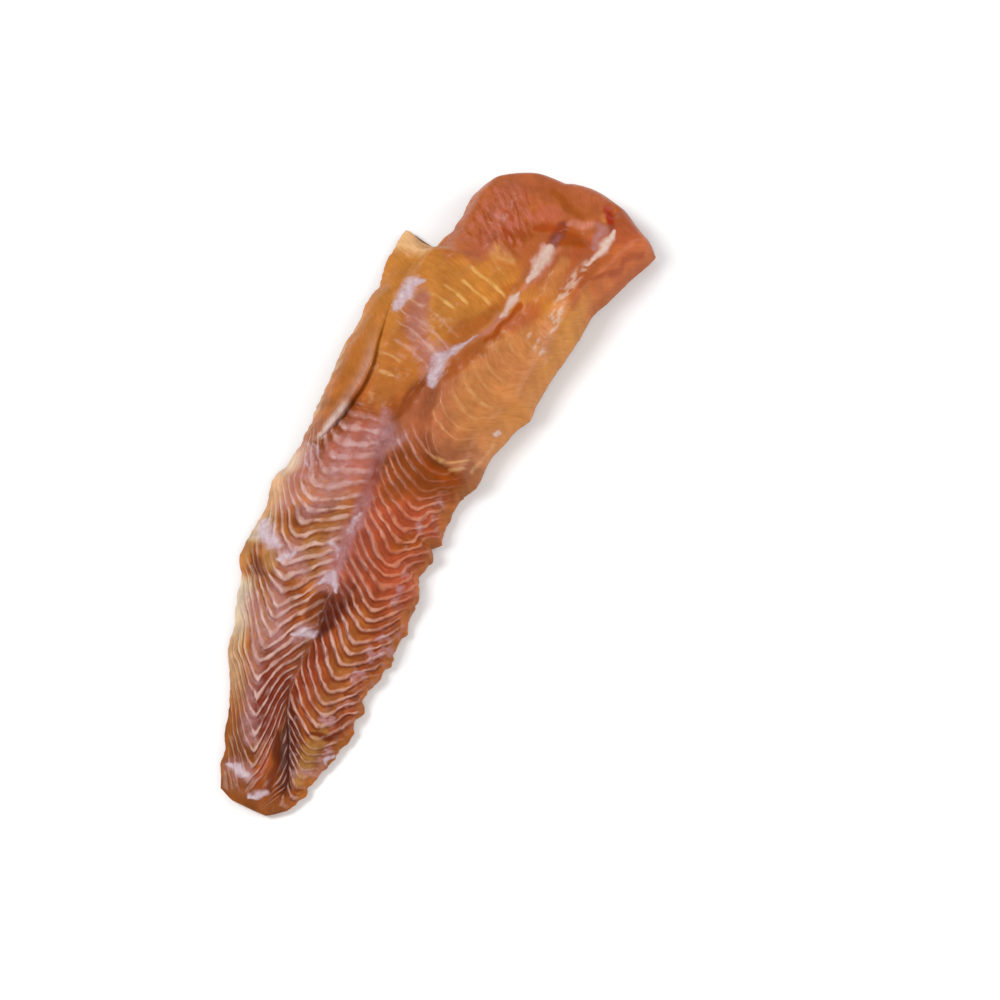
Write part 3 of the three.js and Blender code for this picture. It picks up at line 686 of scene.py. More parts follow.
# What lies on the flesh is laid out as tapering ribbons: (along, across, half-width), from one
# end to the other. Patches of ground colour have a colour and a strength first.
PATCHES = [
    ("amber", 0.5, (-134, 3.6, 1.6), (-120, 8.6, 2.2), (-108, 13.6, 1.6)),
    ("brown", 0.6, (-134, -13, 4), (-118, -10, 4)),
    ("orange brown", 0.7, (-128, -8, 2), (-114, -3, 2.4), (-108, 0, 1.6)),
    ("flame", 0.45, (-133, -9.6, 1), (-126, -8.6, 1.6), (-118, -6, 1)),
    ("deep brown", 0.6, (-134, -14.4, 0.8), (-124, -12.6, 1.2), (-114, -7.4, 1)),
    ("bark", 1, (-130, -19.2, 2.4), (-120, -16.4, 4.2), (-112, -11.6, 2.8), (-100, -6, 1.6)),
    ("khaki", 0.8, (-127, -22, 2), (-116, -22, 3), (-106, -22, 1.6)),
    ("deep brown", 0.8, (-110, -18.6, 0.6), (-105, -26, 1)),
    ("khaki", 0.4, (-104, -19, 3), (-92, -20, 4), (-80, -20, 3)),
    ("deep brown", 0.6, (-91, -22.5, 0.8), (-89, -25.5, 1.2)),
    ("red brown", 0.85, (-100, -6.4, 2), (-88, -7.4, 3), (-78, -6.4, 3)),
    ("wine", 1, (-116, -3, 3), (-102, 1.6, 5.6), (-91, 4.4, 4.6)),
    ("rosewood", 0.9, (-88, 5, 5), (-78, 6, 4)),
    ("orange brown", 0.7, (-78, 8, 3), (-66, 7, 4)),
    ("khaki", 0.5, (-82, 17, 2.6), (-70, 19, 3)),
    ("khaki", 0.4, (-53, 12, 3), (-44, 13, 4), (-38, 13, 3)),
    ("amber", 0.8, (-98, 17.4, 1.4), (-90, 19.6, 2.2), (-83, 21, 2)),
    ("ochre", 0.7, (-82, -15, 3), (-70, -17.5, 4), (-63, -16, 3)),
    ("deep brown", 1, (-74, -5, 1.8), (-67, -4.8, 3.6), (-60, -4.6, 4.4), (-54, -5.4, 2.8)),
    ("deep brown", 0.6, (-70, 2.6, 1.4), (-60, 2.4, 2)),
    ("plum", 0.7, (-57, -4.4, 3), (-46, -3.4, 4), (-34, -1, 3), (-20, 1, 2)),
    ("orange brown", 0.8, (-32, -14, 2), (-28, -19, 3), (-26, -23, 2)),
    ("brown", 0.75, (-67, 9, 2.4), (-61, 20, 3), (-61, 29, 3)),
    ("deep brown", 0.35, (-62, 28, 1.4), (-58, 32.5, 1.8)),
    ("gold", 0.9, (-60, 36.6, 2.4), (-50, 38, 1.6)),
    ("khaki", 0.8, (-57, 26, 2.8), (-51, 28, 2.8)),
    ("brown", 0.8, (-40, 24.6, 1.8), (-34, 22.4, 2.6), (-29, 16, 1.8)),
    ("amber", 0.6, (-46, 26, 1.6), (-42, 31, 2)),
    # Painted shadow under the fold's free edge, in brown.
    ("brown", 0.9, (-12, 28.4, 1), (-7, 31.4, 2.4), (-1, 29.6, 2.4), (6, 27.8, 1.8),
     (14, 26.6, 1.2)),
    # Painted shade tailward of the loin's rounded end, and a dark seam line at its foot that is
    # partly painted shade.
    ("brown", 0.9, (-14, -4, 4), (-7, -8, 6), (-1, -15, 5)),
    ("seam", 0.7, (1.6, -8, 1.4), (1.4, -15, 2), (1, -23, 1.8)),
    ("mauve", 0.75, (-54, 1.4, 1.4), (-40, 3.6, 2.2), (-24, 4.6, 2.4), (-8, 6.8, 2.4), (8, 9, 2.8)),
    ("plum", 0.6, (-26, 4.4, 1.4), (-15, 5.8, 2.2), (-5, 7.6, 2)),
    ("flesh", 0.9, (10, 1, 4), (22, 4, 4), (32, 4, 2)),
    ("brown", 0.9, (14, 9.2, 0.8), (20, 8.2, 1.4), (28, 7.2, 1.8), (35, 6.6, 1)),
    ("amber", 0.9, (20, 20, 5), (34, 18, 6)),
    ("rose brown", 0.65, (41, 10, 3), (50, 20, 4), (58, 24, 4), (66, 24, 2.6)),
    ("amber", 0.6, (41, 19, 2.6), (46, 28, 3)),
    ("cap", 0.6, (88, 22, 4), (96, 18, 5), (100, 18, 4)),
    ("orange brown", 0.5, (46, 4, 2), (56, 4, 3), (70, -3.6, 2), (84, -6.4, 1.6)),
    # Painted shade on the shadowed side of the groove, back of the midline.
    ("orange brown", 0.75, (36, -0.6, 2), (48, -4.6, 3), (60, -9, 2.8)),
    ("pink", 0.9, (54, -0.6, 0.7), (60, -4.8, 1.3), (66, -7.6, 1.6), (71, -9, 1.6)),
    ("pink", 0.8, (82, -10.2, 0.8), (88, -11.8, 1.6), (94, -12.6, 3)),
    ("seam", 0.9, (55, -7, 0.6), (61, -9.2, 1), (69, -11.8, 1.2), (76, -12.4, 0.8)),
    ("red orange", 0.6, (66, -14.6, 3), (74, -18, 4)),
    ("orange brown", 0.25, (78, -19, 4), (92, -19, 5)),
    ("shell", 0.7, (57, -28.6, 2), (68, -27.4, 2.4), (79, -27.4, 1.8), (86, -27, 1.2)),
    ("red orange", 0.4, (86, -30.4, 1.2), (98, -31.4, 2)),
    # The head's back rim: its own warm colour, painted lighter as painted light against the shade
    # on this side.
    ("gold", 0.6, (80, -33.6, 2), (92, -34, 3), (102, -37, 3)),
    ("ember", 0.7, (98, -35, 2.4), (110, -38, 4), (124, -42, 4)),
    ("gold", 0.7, (56, -31.8, 1.4), (78, -33.4, 2), (88, -34.4, 1.6)),
    ("rose brown", 0.7, (92, 13, 4), (106, 10, 6), (120, 12, 6)),
    ("flame", 0.6, (98.6, 0, 0.9), (102, 3.6, 1.4), (105, 8, 0.9)),
    ("flame", 0.5, (105, 0, 0.8), (108.6, 5, 1.2), (111, 10, 0.8)),
    ("orange brown", 0.8, (98, 4, 2), (106, -2, 1.8)),
    ("straw", 0.55, (93, -0.6, 1.8), (95.6, 7, 2.4)),
    ("loin", 0.75, (86, -20, 3), (93, -20.6, 3.4), (99, -21, 2)),
    ("pink", 0.6, (102, -15, 1.6), (106, -16, 1.8)),
    ("red orange", 0.5, (105, -24, 3), (112, -23.6, 3)),
    ("plum", 1, (105, -13.4, 2), (110, -13, 2.4), (116.4, -13, 1.6)),
    ("seam", 0.8, (108, -16.6, 2.4), (112, -18, 3.4), (110, -22, 2)),
    ("flame", 0.55, (110.2, -3, 0.9), (112.4, -7, 1.5), (115, -12.6, 1.4)),
    ("salmon", 1, (113.6, -2, 1.4), (117.6, -5, 3.2), (120, -9, 2.6)),
    ("orange brown", 0.9, (128, -2, 1.2), (124.6, -11, 1.6), (121.6, -17.6, 1.4)),
    ("pink", 0.8, (117, -15, 1), (120.4, -22, 1.6)),
    ("plum", 0.8, (120.6, -30.6, 1), (123.4, -29.8, 1.4), (125, -29, 0.8)),
    ("pit", 1, (124.4, -29.6, 0.8), (128, -27.8, 1.6), (131.6, -25, 1.6)),
    ("straw", 0.4, (125, -26.8, 0.7), (128.6, -25.2, 0.8)),
    ("red orange", 0.5, (122, -35, 4), (134, -36, 5)),
    ("salmon", 0.4, (134, -22, 4), (137, -6, 5), (134, 12, 5)),
    # A pale lip along the loin's rounded end, partly painted highlight, and a small painted glint
    # on it.
    ("shell", 0.5, (5.2, -17, 0.6), (7, -21, 1), (12, -23.6, 1.2)),
    ("tab", 0.6, (3.8, -19, 0.5), (5, -21.6, 0.8), (6.4, -23.4, 0.4)),
    ("tab", 0.6, (7, -25.6, 0.4), (15, -25.8, 0.6), (24, -27.6, 0.5)),
    ("red brown", 0.4, (99, -32.6, 0.5), (110, -38.4, 0.8), (122, -45, 0.5)),
]

# Milky patches over the flesh and its lines, each with its strength.
HAZE = [
    (0.5, (-131, 1.6, 2.4), (-132.4, -4, 2.6)),
    (0.55, (-120, 0.5, 2), (-113, 5, 3)),
    (0.4, (-112, 6, 2.4), (-103, 9, 2.8), (-93, 12, 3)),
    (0.5, (-84, 10, 3), (-74, 14, 4.2), (-66, 19, 3)),
    (0.5, (-88, 14, 3), (-78, 20, 4), (-72, 26, 3.4)),
    (0.6, (-80, 3.4, 2), (-75, 1, 2.4)),
    (0.6, (-56, 14, 3), (-51, 20, 4), (-48, 29, 3)),
    (0.6, (-58, 3, 2.4), (-51, 3.4, 2.6)),
    (0.5, (-49, 5, 2.6), (-41, 6, 3.6), (-32, 5.4, 2.6)),
    (0.5, (-52, 2.4, 2), (-36, 4, 2.6), (-20, 5, 2.2)),
    (0.3, (-14, 9, 1.6), (-4, 9.6, 2), (6, 10, 2.6)),
    (0.7, (1, 13, 3.4), (7, 12, 4.6), (12, 13, 2.6)),
    (0.5, (4, 6, 2.6), (8, 3, 2)),
    (0.5, (-34, 32, 3), (-22, 31, 5), (-12, 33, 3.4)),
    (0.5, (-32, 22, 4), (-16, 19, 7), (-4, 18, 6)),
    (0.6, (36, 6, 2.6), (46, 7.6, 3)),
    (0.36, (42, 11, 2.6), (52, 20, 4), (66, 26, 4)),
    (0.5, (-123, -21, 1.4), (-120, -25.4, 1.4), (-111, -28, 1.2)),
    (0.7, (112, -28.4, 1), (117, -28, 2), (121.4, -26.4, 2)),
    (0.4, (104, -12, 1.6), (110, -13, 2)),
]

# White flecks along the loin, and ragged bits at the back edge.
FLECKS = [
    ((61.6, -29.4, 1.4), (63.8, -25.4, 2), (65.2, -22.4, 1.2)),
    ((69, -28, 1.3), (76, -27.4, 2), (86, -26, 1.7), (95.4, -26.8, 1.6), (104, -28.4, 1.2)),
]
FRILLS = [
    ((-104, -21.4, 2.2), (-95, -23.6, 2.6)),
    ((-84, -23, 1.6), (-76, -24.6, 2.6), (-64, -26.6, 2)),
    ((-82, -27.6, 1.2), (-70, -28.8, 1.6), (-57, -28, 1.3)),
    ((-52, -23, 1), (-40, -22, 1.2)),
    ((-31, -18, 0.8), (-20, -18.6, 1.6), (-7, -21, 1.2)),
    ((-119, -24.6, 1), (-112, -26.6, 1)),
]

# Lilac films, thinner ones with a strength each, and white fat.
FILM = [
    ((-131, 3, 1.2), (-131.4, -1, 2.2), (-132.4, -4.8, 1.4)),
    ((-139, -9, 0.7), (-137, -11, 1.7), (-134.6, -13.4, 1.2)),
    ((-115, -27.3, 0.9), (-112, -28.6, 0.7)),
    ((-79, 4, 0.9), (-76.6, 1, 2), (-75.4, -1.8, 1.6)),
    ((-57, 5, 1), (-54.4, 3.2, 2.6), (-52, 2.2, 1.8), (-55.4, -0.8, 1.6), (-57, -2.6, 0.8)),
    ((-42.6, 37, 2.2), (-46.6, 33.4, 3.8), (-49.6, 29.6, 3), (-50.4, 26, 1.6)),
    ((-54.6, 23.4, 1.2), (-52.6, 21, 2), (-51, 19, 1)),
    ((58, 31.4, 2), (65, 31.6, 3.6), (70.6, 31.6, 3), (71.4, 27.6, 1.2)),
    ((31.4, 3, 1.6), (36, 4.2, 3.2), (43, 4.6, 3.4), (49, 2.4, 2), (54, -0.4, 1), (58, -3, 0.5)),
]
WHISPS = [
    (0.72, (-15, 28.2, 0.6), (-10.6, 30.6, 1.1), (-6.8, 34.4, 1.1)),
    (0.7, (-14, 31.4, 0.8), (-9.6, 34, 1.3), (-6, 37.8, 1.1)),
    (0.66, (-17, 30.6, 0.7), (-12.4, 34.4, 1), (-9, 38, 0.8)),
    (0.8, (-44.6, 3.6, 1.2), (-42, 5.6, 2), (-41.4, 8.4, 1.2)),
    (0.75, (-34.4, 3.8, 1.6), (-31.4, 4.6, 2), (-26, 4.4, 1.4)),
    (0.58, (-72, -1, 0.9), (-66, -0.4, 1), (-58, 0.6, 1)),
    (0.56, (-97, -3.6, 0.9), (-88, -2.8, 1), (-80, -2, 1)),
]
FAT = [
    ((69, -8.6, 0.7), (74, -8.8, 1.6), (79, -9, 1.7), (83, -9.7, 0.7)),
    ((87.6, -11, 0.8), (92.6, -11.6, 2.4), (97.4, -11.8, 3.4), (102.6, -12, 2.8), (106, -12.4, 1)),
    ((25.6, -26.6, 0.8), (27.6, -27.4, 0.9)),
    ((102.6, -28, 0.7), (107.6, -29.5, 1.2), (112.6, -31, 1.9), (117.6, -31.6, 1.8),
     (121.6, -31.2, 0.8)),
]

# Where the tail shows no flakes.
SMOOTH_TAIL = [((-136, -13, 3), (-122, -11.6, 2.6), (-113, -8, 1.2))]

# Single pale lines on the loin, the belly lobe and under the fold, each with its strength.
ARCS = [
    (0.9, (12.6, -2, 1.6), (7.6, -8, 2), (5.6, -15, 2), (8.6, -21.6, 2)),
    (0.6, (20, -3.6, 1.6), (16, -9, 1.8), (14.8, -15.6, 1.6)),
    (0.6, (25, -4.6, 1.6), (21.6, -9, 1.8), (20.8, -15, 1.6)),
    (0.5, (30, -7, 1.6), (27, -12, 1.8), (26.6, -16, 1.4)),
    (0.6, (35, -9.6, 1.6), (31.6, -14, 1.8), (31, -19.6, 1.4)),
    (0.35, (42, -8, 2), (38, -15, 2), (37.6, -19, 1.6)),
    (0.9, (29, 27.4, 1.7), (29.4, 20, 1.7)),
    (0.8, (36, 27.6, 1.7), (36.6, 20, 1.7)),
    (0.7, (38.4, 9, 1.8), (41, 15, 2), (43, 24, 2)),
    (0.8, (43.6, 8, 1.8), (47, 15, 2), (51, 24, 2), (57, 29.4, 2)),
    (0.8, (48, 6, 1.8), (52, 13, 2), (56, 20, 2), (64, 27, 2)),
    (0.4, (54, 5, 1.8), (57.6, 12, 2), (60, 18, 2)),
    (0.9, (67, 21.4, 1.7), (65, 11.6, 1.7)),
    (1, (71.6, 17, 1.7), (70, 8.4, 1.7)),
    (0.8, (76.6, 11.4, 1.7), (73, 0, 1.7)),
    (1, (84, 10, 1.8), (78, -3.6, 1.7)),
    (0.7, (88.6, 6.6, 1.7), (81, -5, 1.5)),
]

# Where the pale lines fade, each with how much of them goes.
FADES = [
    (0.25, (-134, 2, 3), (-120, 6, 4), (-108, 12, 3)),
    (0.6, (-127, -23, 2), (-116, -23, 3), (-106, -23, 1.6)),
    (0.8, (-60, 27, 3), (-52, 28, 3.4)),
    (0.9, (-61, 37, 2.4), (-51, 38, 2.4)),
    (0.6, (-72, 2.6, 1.6), (-60, 2.6, 2.4)),
    (0.85, (-74, -4, 2.2), (-64, -4.6, 3.4), (-55, -4.6, 2.6)),
    (0.5, (-57, -3.6, 2.4), (-46, -2.6, 3), (-34, 0, 2)),
    (0.8, (-50, 2, 1.4), (-36, 4, 2.2), (-20, 4.8, 2.4), (-6, 7, 2.4), (8, 9.2, 3)),
    (0.75, (-13, -4, 5), (-4, -10, 7), (0, -20, 5)),
    (0.6, (5, 4, 4), (12, 2, 5), (20, 3, 5)),
    (0.8, (14, 13, 2), (20, 14, 4)),
]


def ribbon(x, y, points):
    """How far inside a tapering ribbon a place is: 1 on its spine, 0.5 at its edge."""
    inside = np.zeros_like(x)
    for (x0, y0, w0), (x1, y1, w1) in zip(points, points[1:]):
        span = (x1 - x0) ** 2 + (y1 - y0) ** 2
        t = np.clip(((x - x0) * (x1 - x0) + (y - y0) * (y1 - y0)) / span, 0, 1)
        reach = np.hypot(x - x0 - t * (x1 - x0), y - y0 - t * (y1 - y0))
        inside = np.maximum(inside, 1 - 0.5 * reach / (w0 + t * (w1 - w0)))
    return inside


def strongest(x, y, ribbons):
    """How far inside any of the ribbons a place is."""
    return np.max([ribbon(x, y, points) for points in ribbons], axis=0)


def blob(x, y, points):
    """How much of a ribbon with soft edges is at a place."""
    return ease(0.1, 0.7, ribbon(x, y, points))


def wavered(x, y, amount, size, seed):
    """Places shifted a little to and fro, so that what is laid out by them gets ragged edges."""
    return x + amount * ripples(x, y, size, seed), y + amount * ripples(x, y, size, seed + 1)


def tint_line(stops):
    """The colour along the fillet, through named stops."""
    lines = [curve([(place, PALETTE[name][i]) for place, name in stops]) for i in range(3)]
    return lambda x: np.stack([line(x) for line in lines], 1)


def painted(colours, layers):
    """Colours with layers laid over them in turn, each a colour's name and its share."""
    for name, share in layers:
        colours = colours + (np.array(PALETTE[name]) - colours) * np.clip(share, 0, 1)[:, None]
    return colours


def linear(colours):
    """Light for the renderer from colours as the eye sees them."""
    share = np.clip(colours / 255, 0, 1)
    light = np.where(share <= 0.04045, share / 12.92, ((share + 0.055) / 1.055) ** 2.4)
    return np.clip((light - VEIL) / LIGHT, 0.001, 1)


def ground_tint(x, y, across):
    """The broad colours of the flesh, and the patches in them."""
    belly_share = ease(-0.12, 0.16, across)[:, None]
    back_tint, belly_tint = tint_line(BACK_TINTS)(x), tint_line(BELLY_TINTS)(x)
    colours = back_tint * (1 - belly_share) + belly_tint * belly_share
    blur = 1 + 5 * ease(0.8, 1, -across)
    loin_end = on_loin(-blur, 2 * blur, x, y) * (1 - ease(40, 60, x))
    loin = loin_end * ease(3, 22, loin_distance(x, y))
    colours = painted(colours, [("loin end", loin_end), ("loin", loin)])
    side = side_distance(x, across)
    off_wall = np.where((across < 0) & (x > -20), 0.25 + 0.75 * ease(0.3, 2, side), 1)
    near_x, near_y = wavered(x, y, *PATCH_WAVER)
    for name, strength, *points in PATCHES:
        share = ease(0.1, 0.75, ribbon(near_x, near_y, points))
        colours = painted(colours, [(name, strength * share * off_wall)])
    return colours


def rim_layers(x, y, across):
    """The colours of the rims, the fold and its tab, as layers, with a painted highlight along the
    fold's outer rim.
    """
    side = side_distance(x, across)
    ragged_side = side + 1.6 * ripples(x, y, *SIDE_BUMPS)
    past = y - fold_edge(x)
    on_fold = fold_presence(x) * ease(-0.2, 0.5, past)
    belly_rim = (1 - ease(4, 9.5, ragged_side)) * rim_paleness(x) * (across > 0)
    back_rim = (1 - ease(1, 3.6, ragged_side)) * (across < 0)
    loin_rim = (1 - ease(2, 7, ragged_side)) * (across < 0)
    lip = on_fold * (1 - ease(1, 6, past))
    lip_line = 1 - ease(0.7, 1.8, np.abs(past - 0.7))
    fold_rim_highlight = on_fold * (1 - ease(0.6, 2.6, ragged_side))
    return [
        ("cream", belly_rim * (1 - between(PALE_RIM_GAP, x))),
        ("amber", 0.7 * back_rim * between(BACK_RIM_RUN, x)),
        ("gold", 0.6 * loin_rim * between(LOIN_RIM_RUN, x)),
        ("amber", 0.9 * on_fold),
        ("gold", 0.5 * ease(72, 86, x) * ease(30, 37, y)),
        ("tab", 0.95 * ease(82, 89, x) * ease(29, 35, y)),
        ("lilac", 0.6 * lip * between(LIP_RUN, x)),
        ("pearl", 0.85 * lip_line * between(LIP_LINE_RUN, x)),
        # The cream along the fold's outer rim is a painted highlight.
        ("cream", 0.5 * fold_rim_highlight * (1 - ease(56, 74, x))),
    ]


def flesh_tint(x, y, across):
    """The ground colour of the flesh between its pale lines."""
    colours = painted(ground_tint(x, y, across), rim_layers(x, y, across))
    seam = bell(across, 0.1) * between(SEAM_RUN, x)
    colours = colours * (1 - 0.15 * seam[:, None])
    speckles = bell(y - midline(x), 3) * between(SPECKLE_RUN, x)
    speckles = speckles * ease(0, 0.6, ripples(x, y, *SPECKLE_BUMPS))
    flecks = ease(0.15, 0.7, strongest(x, y, FLECKS))
    flecks = flecks * ease(0, 0.4, ripples(x + y, 2 * y, *FLECK_BUMPS))
    colours = painted(colours, [("plum", 0.85 * speckles), ("pearl", 0.62 * flecks)])
    calm = 1 - 0.5 * ease(10, 30, x)
    return colours * (1 + calm * bumps(x, y, BLOTCHES))[:, None]


def line_tint(x, y, across):
    """The colour of the pale lines between the flakes."""
    belly = across > 0
    side = side_distance(x, across)
    outer = (1 - ease(4, 11, side)) * belly
    return painted(np.tile(PALETTE["tail line"], (len(x), 1)), [
        ("back line", ease(-66, -50, x)),
        ("belly line", ease(0, 0.1, across)),
        ("belly middle line", between(MIDDLE_LINES_RUN, x) * belly),
        ("belly tail line", outer * (1 - ease(-106, -94, x))),
        ("belly rim line", outer * between(RIM_LINES_RUN, x)),
        ("loin line", np.maximum(on_loin(-4, 1, x, y), ease(20, 28, x))),
        ("lobe line", ease(58, 64, x) * belly),
        ("strand", between(STRANDS_RUN, x) * belly),
    ])


def line_strength(x, y, across):
    """How clearly the pale lines show: all of them, and the painted shade beside them."""
    main = between(LINES_RUN, x)
    for amount, *points in FADES:
        main = main * (1 - amount * blob(x, y, points))
    side = side_distance(x, across)
    reach = np.where(across > 0, 2.4 + 2.1 * ease(-110, -96, x), 2.8)
    rims = ease(0, 1, (side + 1.4 * ripples(x, y, *SIDE_BUMPS) - 0.4) / reach)
    bare = 1 - fold_presence(x) * ease(-0.4, 0.4, y - fold_edge(x))
    smooth_tail = ease(0.3, 0.7, strongest(x, y, SMOOTH_TAIL))
    blur = 1 + 4 * ease(0.85, 1, -across)
    off_loin = 1 - on_loin(-2 * blur, blur, x, y)
    main = main * rims * (1 - smooth_tail) * bare * off_loin
    main = main * ease(0.005, 0.05, np.abs(across))
    arcs = np.max([strength * blob(x, y, points) for strength, *points in ARCS], axis=0)
    fan = 0.3 * between(FAN_RUN, x) * between(FAN_ACROSS, across)
    soft = np.where(across > 0, 0.75 * ease(-50, -24, x), 0.45 * ease(-64, -44, x))
    return np.maximum.reduce([main, fan, arcs * bare]), main * (1 - soft)


def line_width(x, y, across):
    """Half the width of a pale line: thinner on the loin and in front of it."""
    belly_thick = between(BELLY_THICK_RUN, x) * ease(0.02, 0.15, across)
    back_thick = 0.7 * between(BACK_THICK_RUN, x) * ease(0.02, 0.15, -across)
    thin = np.maximum(ease(16, 24, x), on_loin(-3, 1, x, y))
    return LINE_WIDTH + LINE_GROWS * (belly_thick + back_thick) - LINE_SHRINKS * thin


def fibre_strength(x, y):
    """Where pink fibres run slantwise across the head end."""
    return between(FIBRES_RUN, x) * between(FIBRES_ACROSS, y)


def add_colour(mesh, name, colours):
    values = np.concatenate([linear(colours), np.ones((len(colours), 1))], 1)
    mesh.attributes.new(name, "FLOAT_COLOR", "POINT").data.foreach_set("color", values.ravel())


def haze_strength(x, y):
    """How milky the flesh is."""
    near_x, near_y = wavered(x, y, *HAZE_WAVER)
    patches = []
    for strength, *points in HAZE:
        patches.append(strength * ease(0.05, 0.9, ribbon(near_x, near_y, points)))
    frills = ease(0.15, 0.7, strongest(x, y, FRILLS))
    frills = 0.75 * frills * ease(-0.1, 0.4, ripples(x, y, *FRILL_BUMPS))
    return np.maximum(np.max(patches, axis=0), frills)


def film_and_fat(x, y, across):
    """How much lilac film and how much white fat lie on the flesh."""
    near_x, near_y = wavered(x, y, *FILM_WAVER)
    patchy = 0.9 + 0.12 * ripples(x, y, *FILM_BUMPS)
    whisps = [strength * patchy * ribbon(near_x, near_y, points) for strength, *points in WHISPS]
    film = np.maximum(strongest(near_x, near_y, FILM), np.max(whisps, axis=0))
    side = side_distance(x, across)
    return film, strongest(near_x, near_y, FAT) * ease(0.5, 2, side)


def paint(piece, at):
    """Stores on the mesh the colours and the amounts that the material reads."""
    mesh = piece.data
    x, y, across, top = at["x"], at["y"], at["across"], at["top"]
    skin = np.array(PALETTE["tan"]) * (1 + 0.05 * ripples(x, y, *SKIN_BUMPS))[:, None]
    add_colour(mesh, "tint", np.where(top[:, None], flesh_tint(x, y, across), skin))
    add_colour(mesh, "line_tint", line_tint(x, y, across))
    rows = np.stack([at["count"], across, np.zeros_like(x)], 1)
    mesh.attributes.new("rows", "FLOAT_VECTOR", "POINT").data.foreach_set("vector", rows.ravel())
    lines, shade_beside_lines = line_strength(x, y, across)
    on_underside = np.where(top, 1, 0.3)
    film, fat = film_and_fat(x, y, across)
    amounts = {
        "lines": lines * on_underside,
        "shade_beside_lines": shade_beside_lines * on_underside,
        "width": line_width(x, y, across),
        "fibres": fibre_strength(x, y) * top,
        "haze": haze_strength(x, y) * top,
        "film": film * top,
        "fat": fat * top,
    }
    for name, values in amounts.items():
        mesh.attributes.new(name, "FLOAT", "POINT").data.foreach_set("value", values)


# The sockets for colours of the node that mixes, by number because others share their names.
MIX_SHARE = 0
MIX_FIRST = 6
MIX_SECOND = 7
MIX_COLOUR = 2

# What the flesh's shader has all over: a thin moist coat, and light that sinks in a little.
FLESH_FINISH = {
    "IOR": 1.38,
    "Specular IOR Level": 0.1,
    "Coat Weight": 0.16,
    "Coat Roughness": 0.17,
    "Subsurface Weight": 0.15,
    "Subsurface Radius": (1.0, 0.4, 0.22),
    "Subsurface Scale": 0.0011,
}
FLOOR_FINISH = {
    "Base Color": (0.86, 0.86, 0.86, 1),
    "Roughness": 0.9,
    "Specular IOR Level": 0.1,
}


class Wire:
    """A shader socket that can be used in sums like a number."""

    def __init__(self, tree, socket):
        self.tree = tree
        self.socket = socket

    def node(self, kind, settings=None, values=None, out=0):
        """Adds a node: its settings first, then numbers or links for its sockets."""
        node = self.tree.nodes.new(kind)
        for name, value in (settings or {}).items():
            setattr(node, name, value)
        for name, value in (values or {}).items():
            if isinstance(value, Wire):
                self.tree.links.new(value.socket, node.inputs[name])
            else:
                node.inputs[name].default_value = value
        return Wire(self.tree, node.outputs[out])

    def math(self, operation, *others):
        numbers = dict(enumerate((self, *others)))
        return self.node("ShaderNodeMath", {"operation": operation}, numbers)

    def __add__(self, other):
        return self.math("ADD", other)

    def __sub__(self, other):
        return self.math("SUBTRACT", other)

    def __rsub__(self, other):
        return self.node("ShaderNodeMath", {"operation": "SUBTRACT"}, {0: other, 1: self})

    def __mul__(self, other):
        return self.math("MULTIPLY", other)

    def __truediv__(self, other):
        return self.math("DIVIDE", other)

    __radd__ = __add__
    __rmul__ = __mul__

    def step(self, low, high, start=0.0, end=1.0):
        """Runs smoothly from start to end as the value passes from low to high."""
        values = {"Value": self, "From Min": low, "From Max": high, "To Min": start, "To Max": end}
        settings = {"interpolation_type": "SMOOTHSTEP"}
        return self.node("ShaderNodeMapRange", settings, values)

    def scaled(self, x, y, z):
        """The same place with its axes scaled, for a pattern's size and stretch."""
        values = {0: self, 1: (x, y, z)}
        return self.node("ShaderNodeVectorMath", {"operation": "MULTIPLY"}, values)

    def part(self, axis):
        """One number of a place: X, Y or Z."""
        return self.node("ShaderNodeSeparateXYZ", values={"Vector": self}, out=axis)

    def noise(self, scale, detail=2.0, roughness=0.5):
        values = {"Vector": self, "Scale": scale, "Detail": detail, "Roughness": roughness}
        return self.node("ShaderNodeTexNoise", {}, values)


def attribute(tree, name, out="Fac"):
    """What the mesh stores under a name: out is Color, Vector or Fac."""
    return Wire(tree, None).node("ShaderNodeAttribute", {"attribute_name": name}, out=out)


def mix(share, first, second):
    """One colour turning into another by a share."""
    settings = {"data_type": "RGBA", "clamp_factor": True}
    values = {MIX_SHARE: share, MIX_FIRST: first, MIX_SECOND: second}
    return share.node("ShaderNodeMix", settings, values, MIX_COLOUR)


def shown(name):
    """A colour of the palette as the studio's light will show it."""
    return (*linear(np.array(PALETTE[name])).tolist(), 1.0)


def new_material(name, finish):
    """A material with its shader's plain values set, and that shader."""
    material = bpy.data.materials.new(name)
    material.use_nodes = True
    shader = material.node_tree.nodes["Principled BSDF"]
    for socket, value in finish.items():
        shader.inputs[socket].default_value = value
    return material, shader


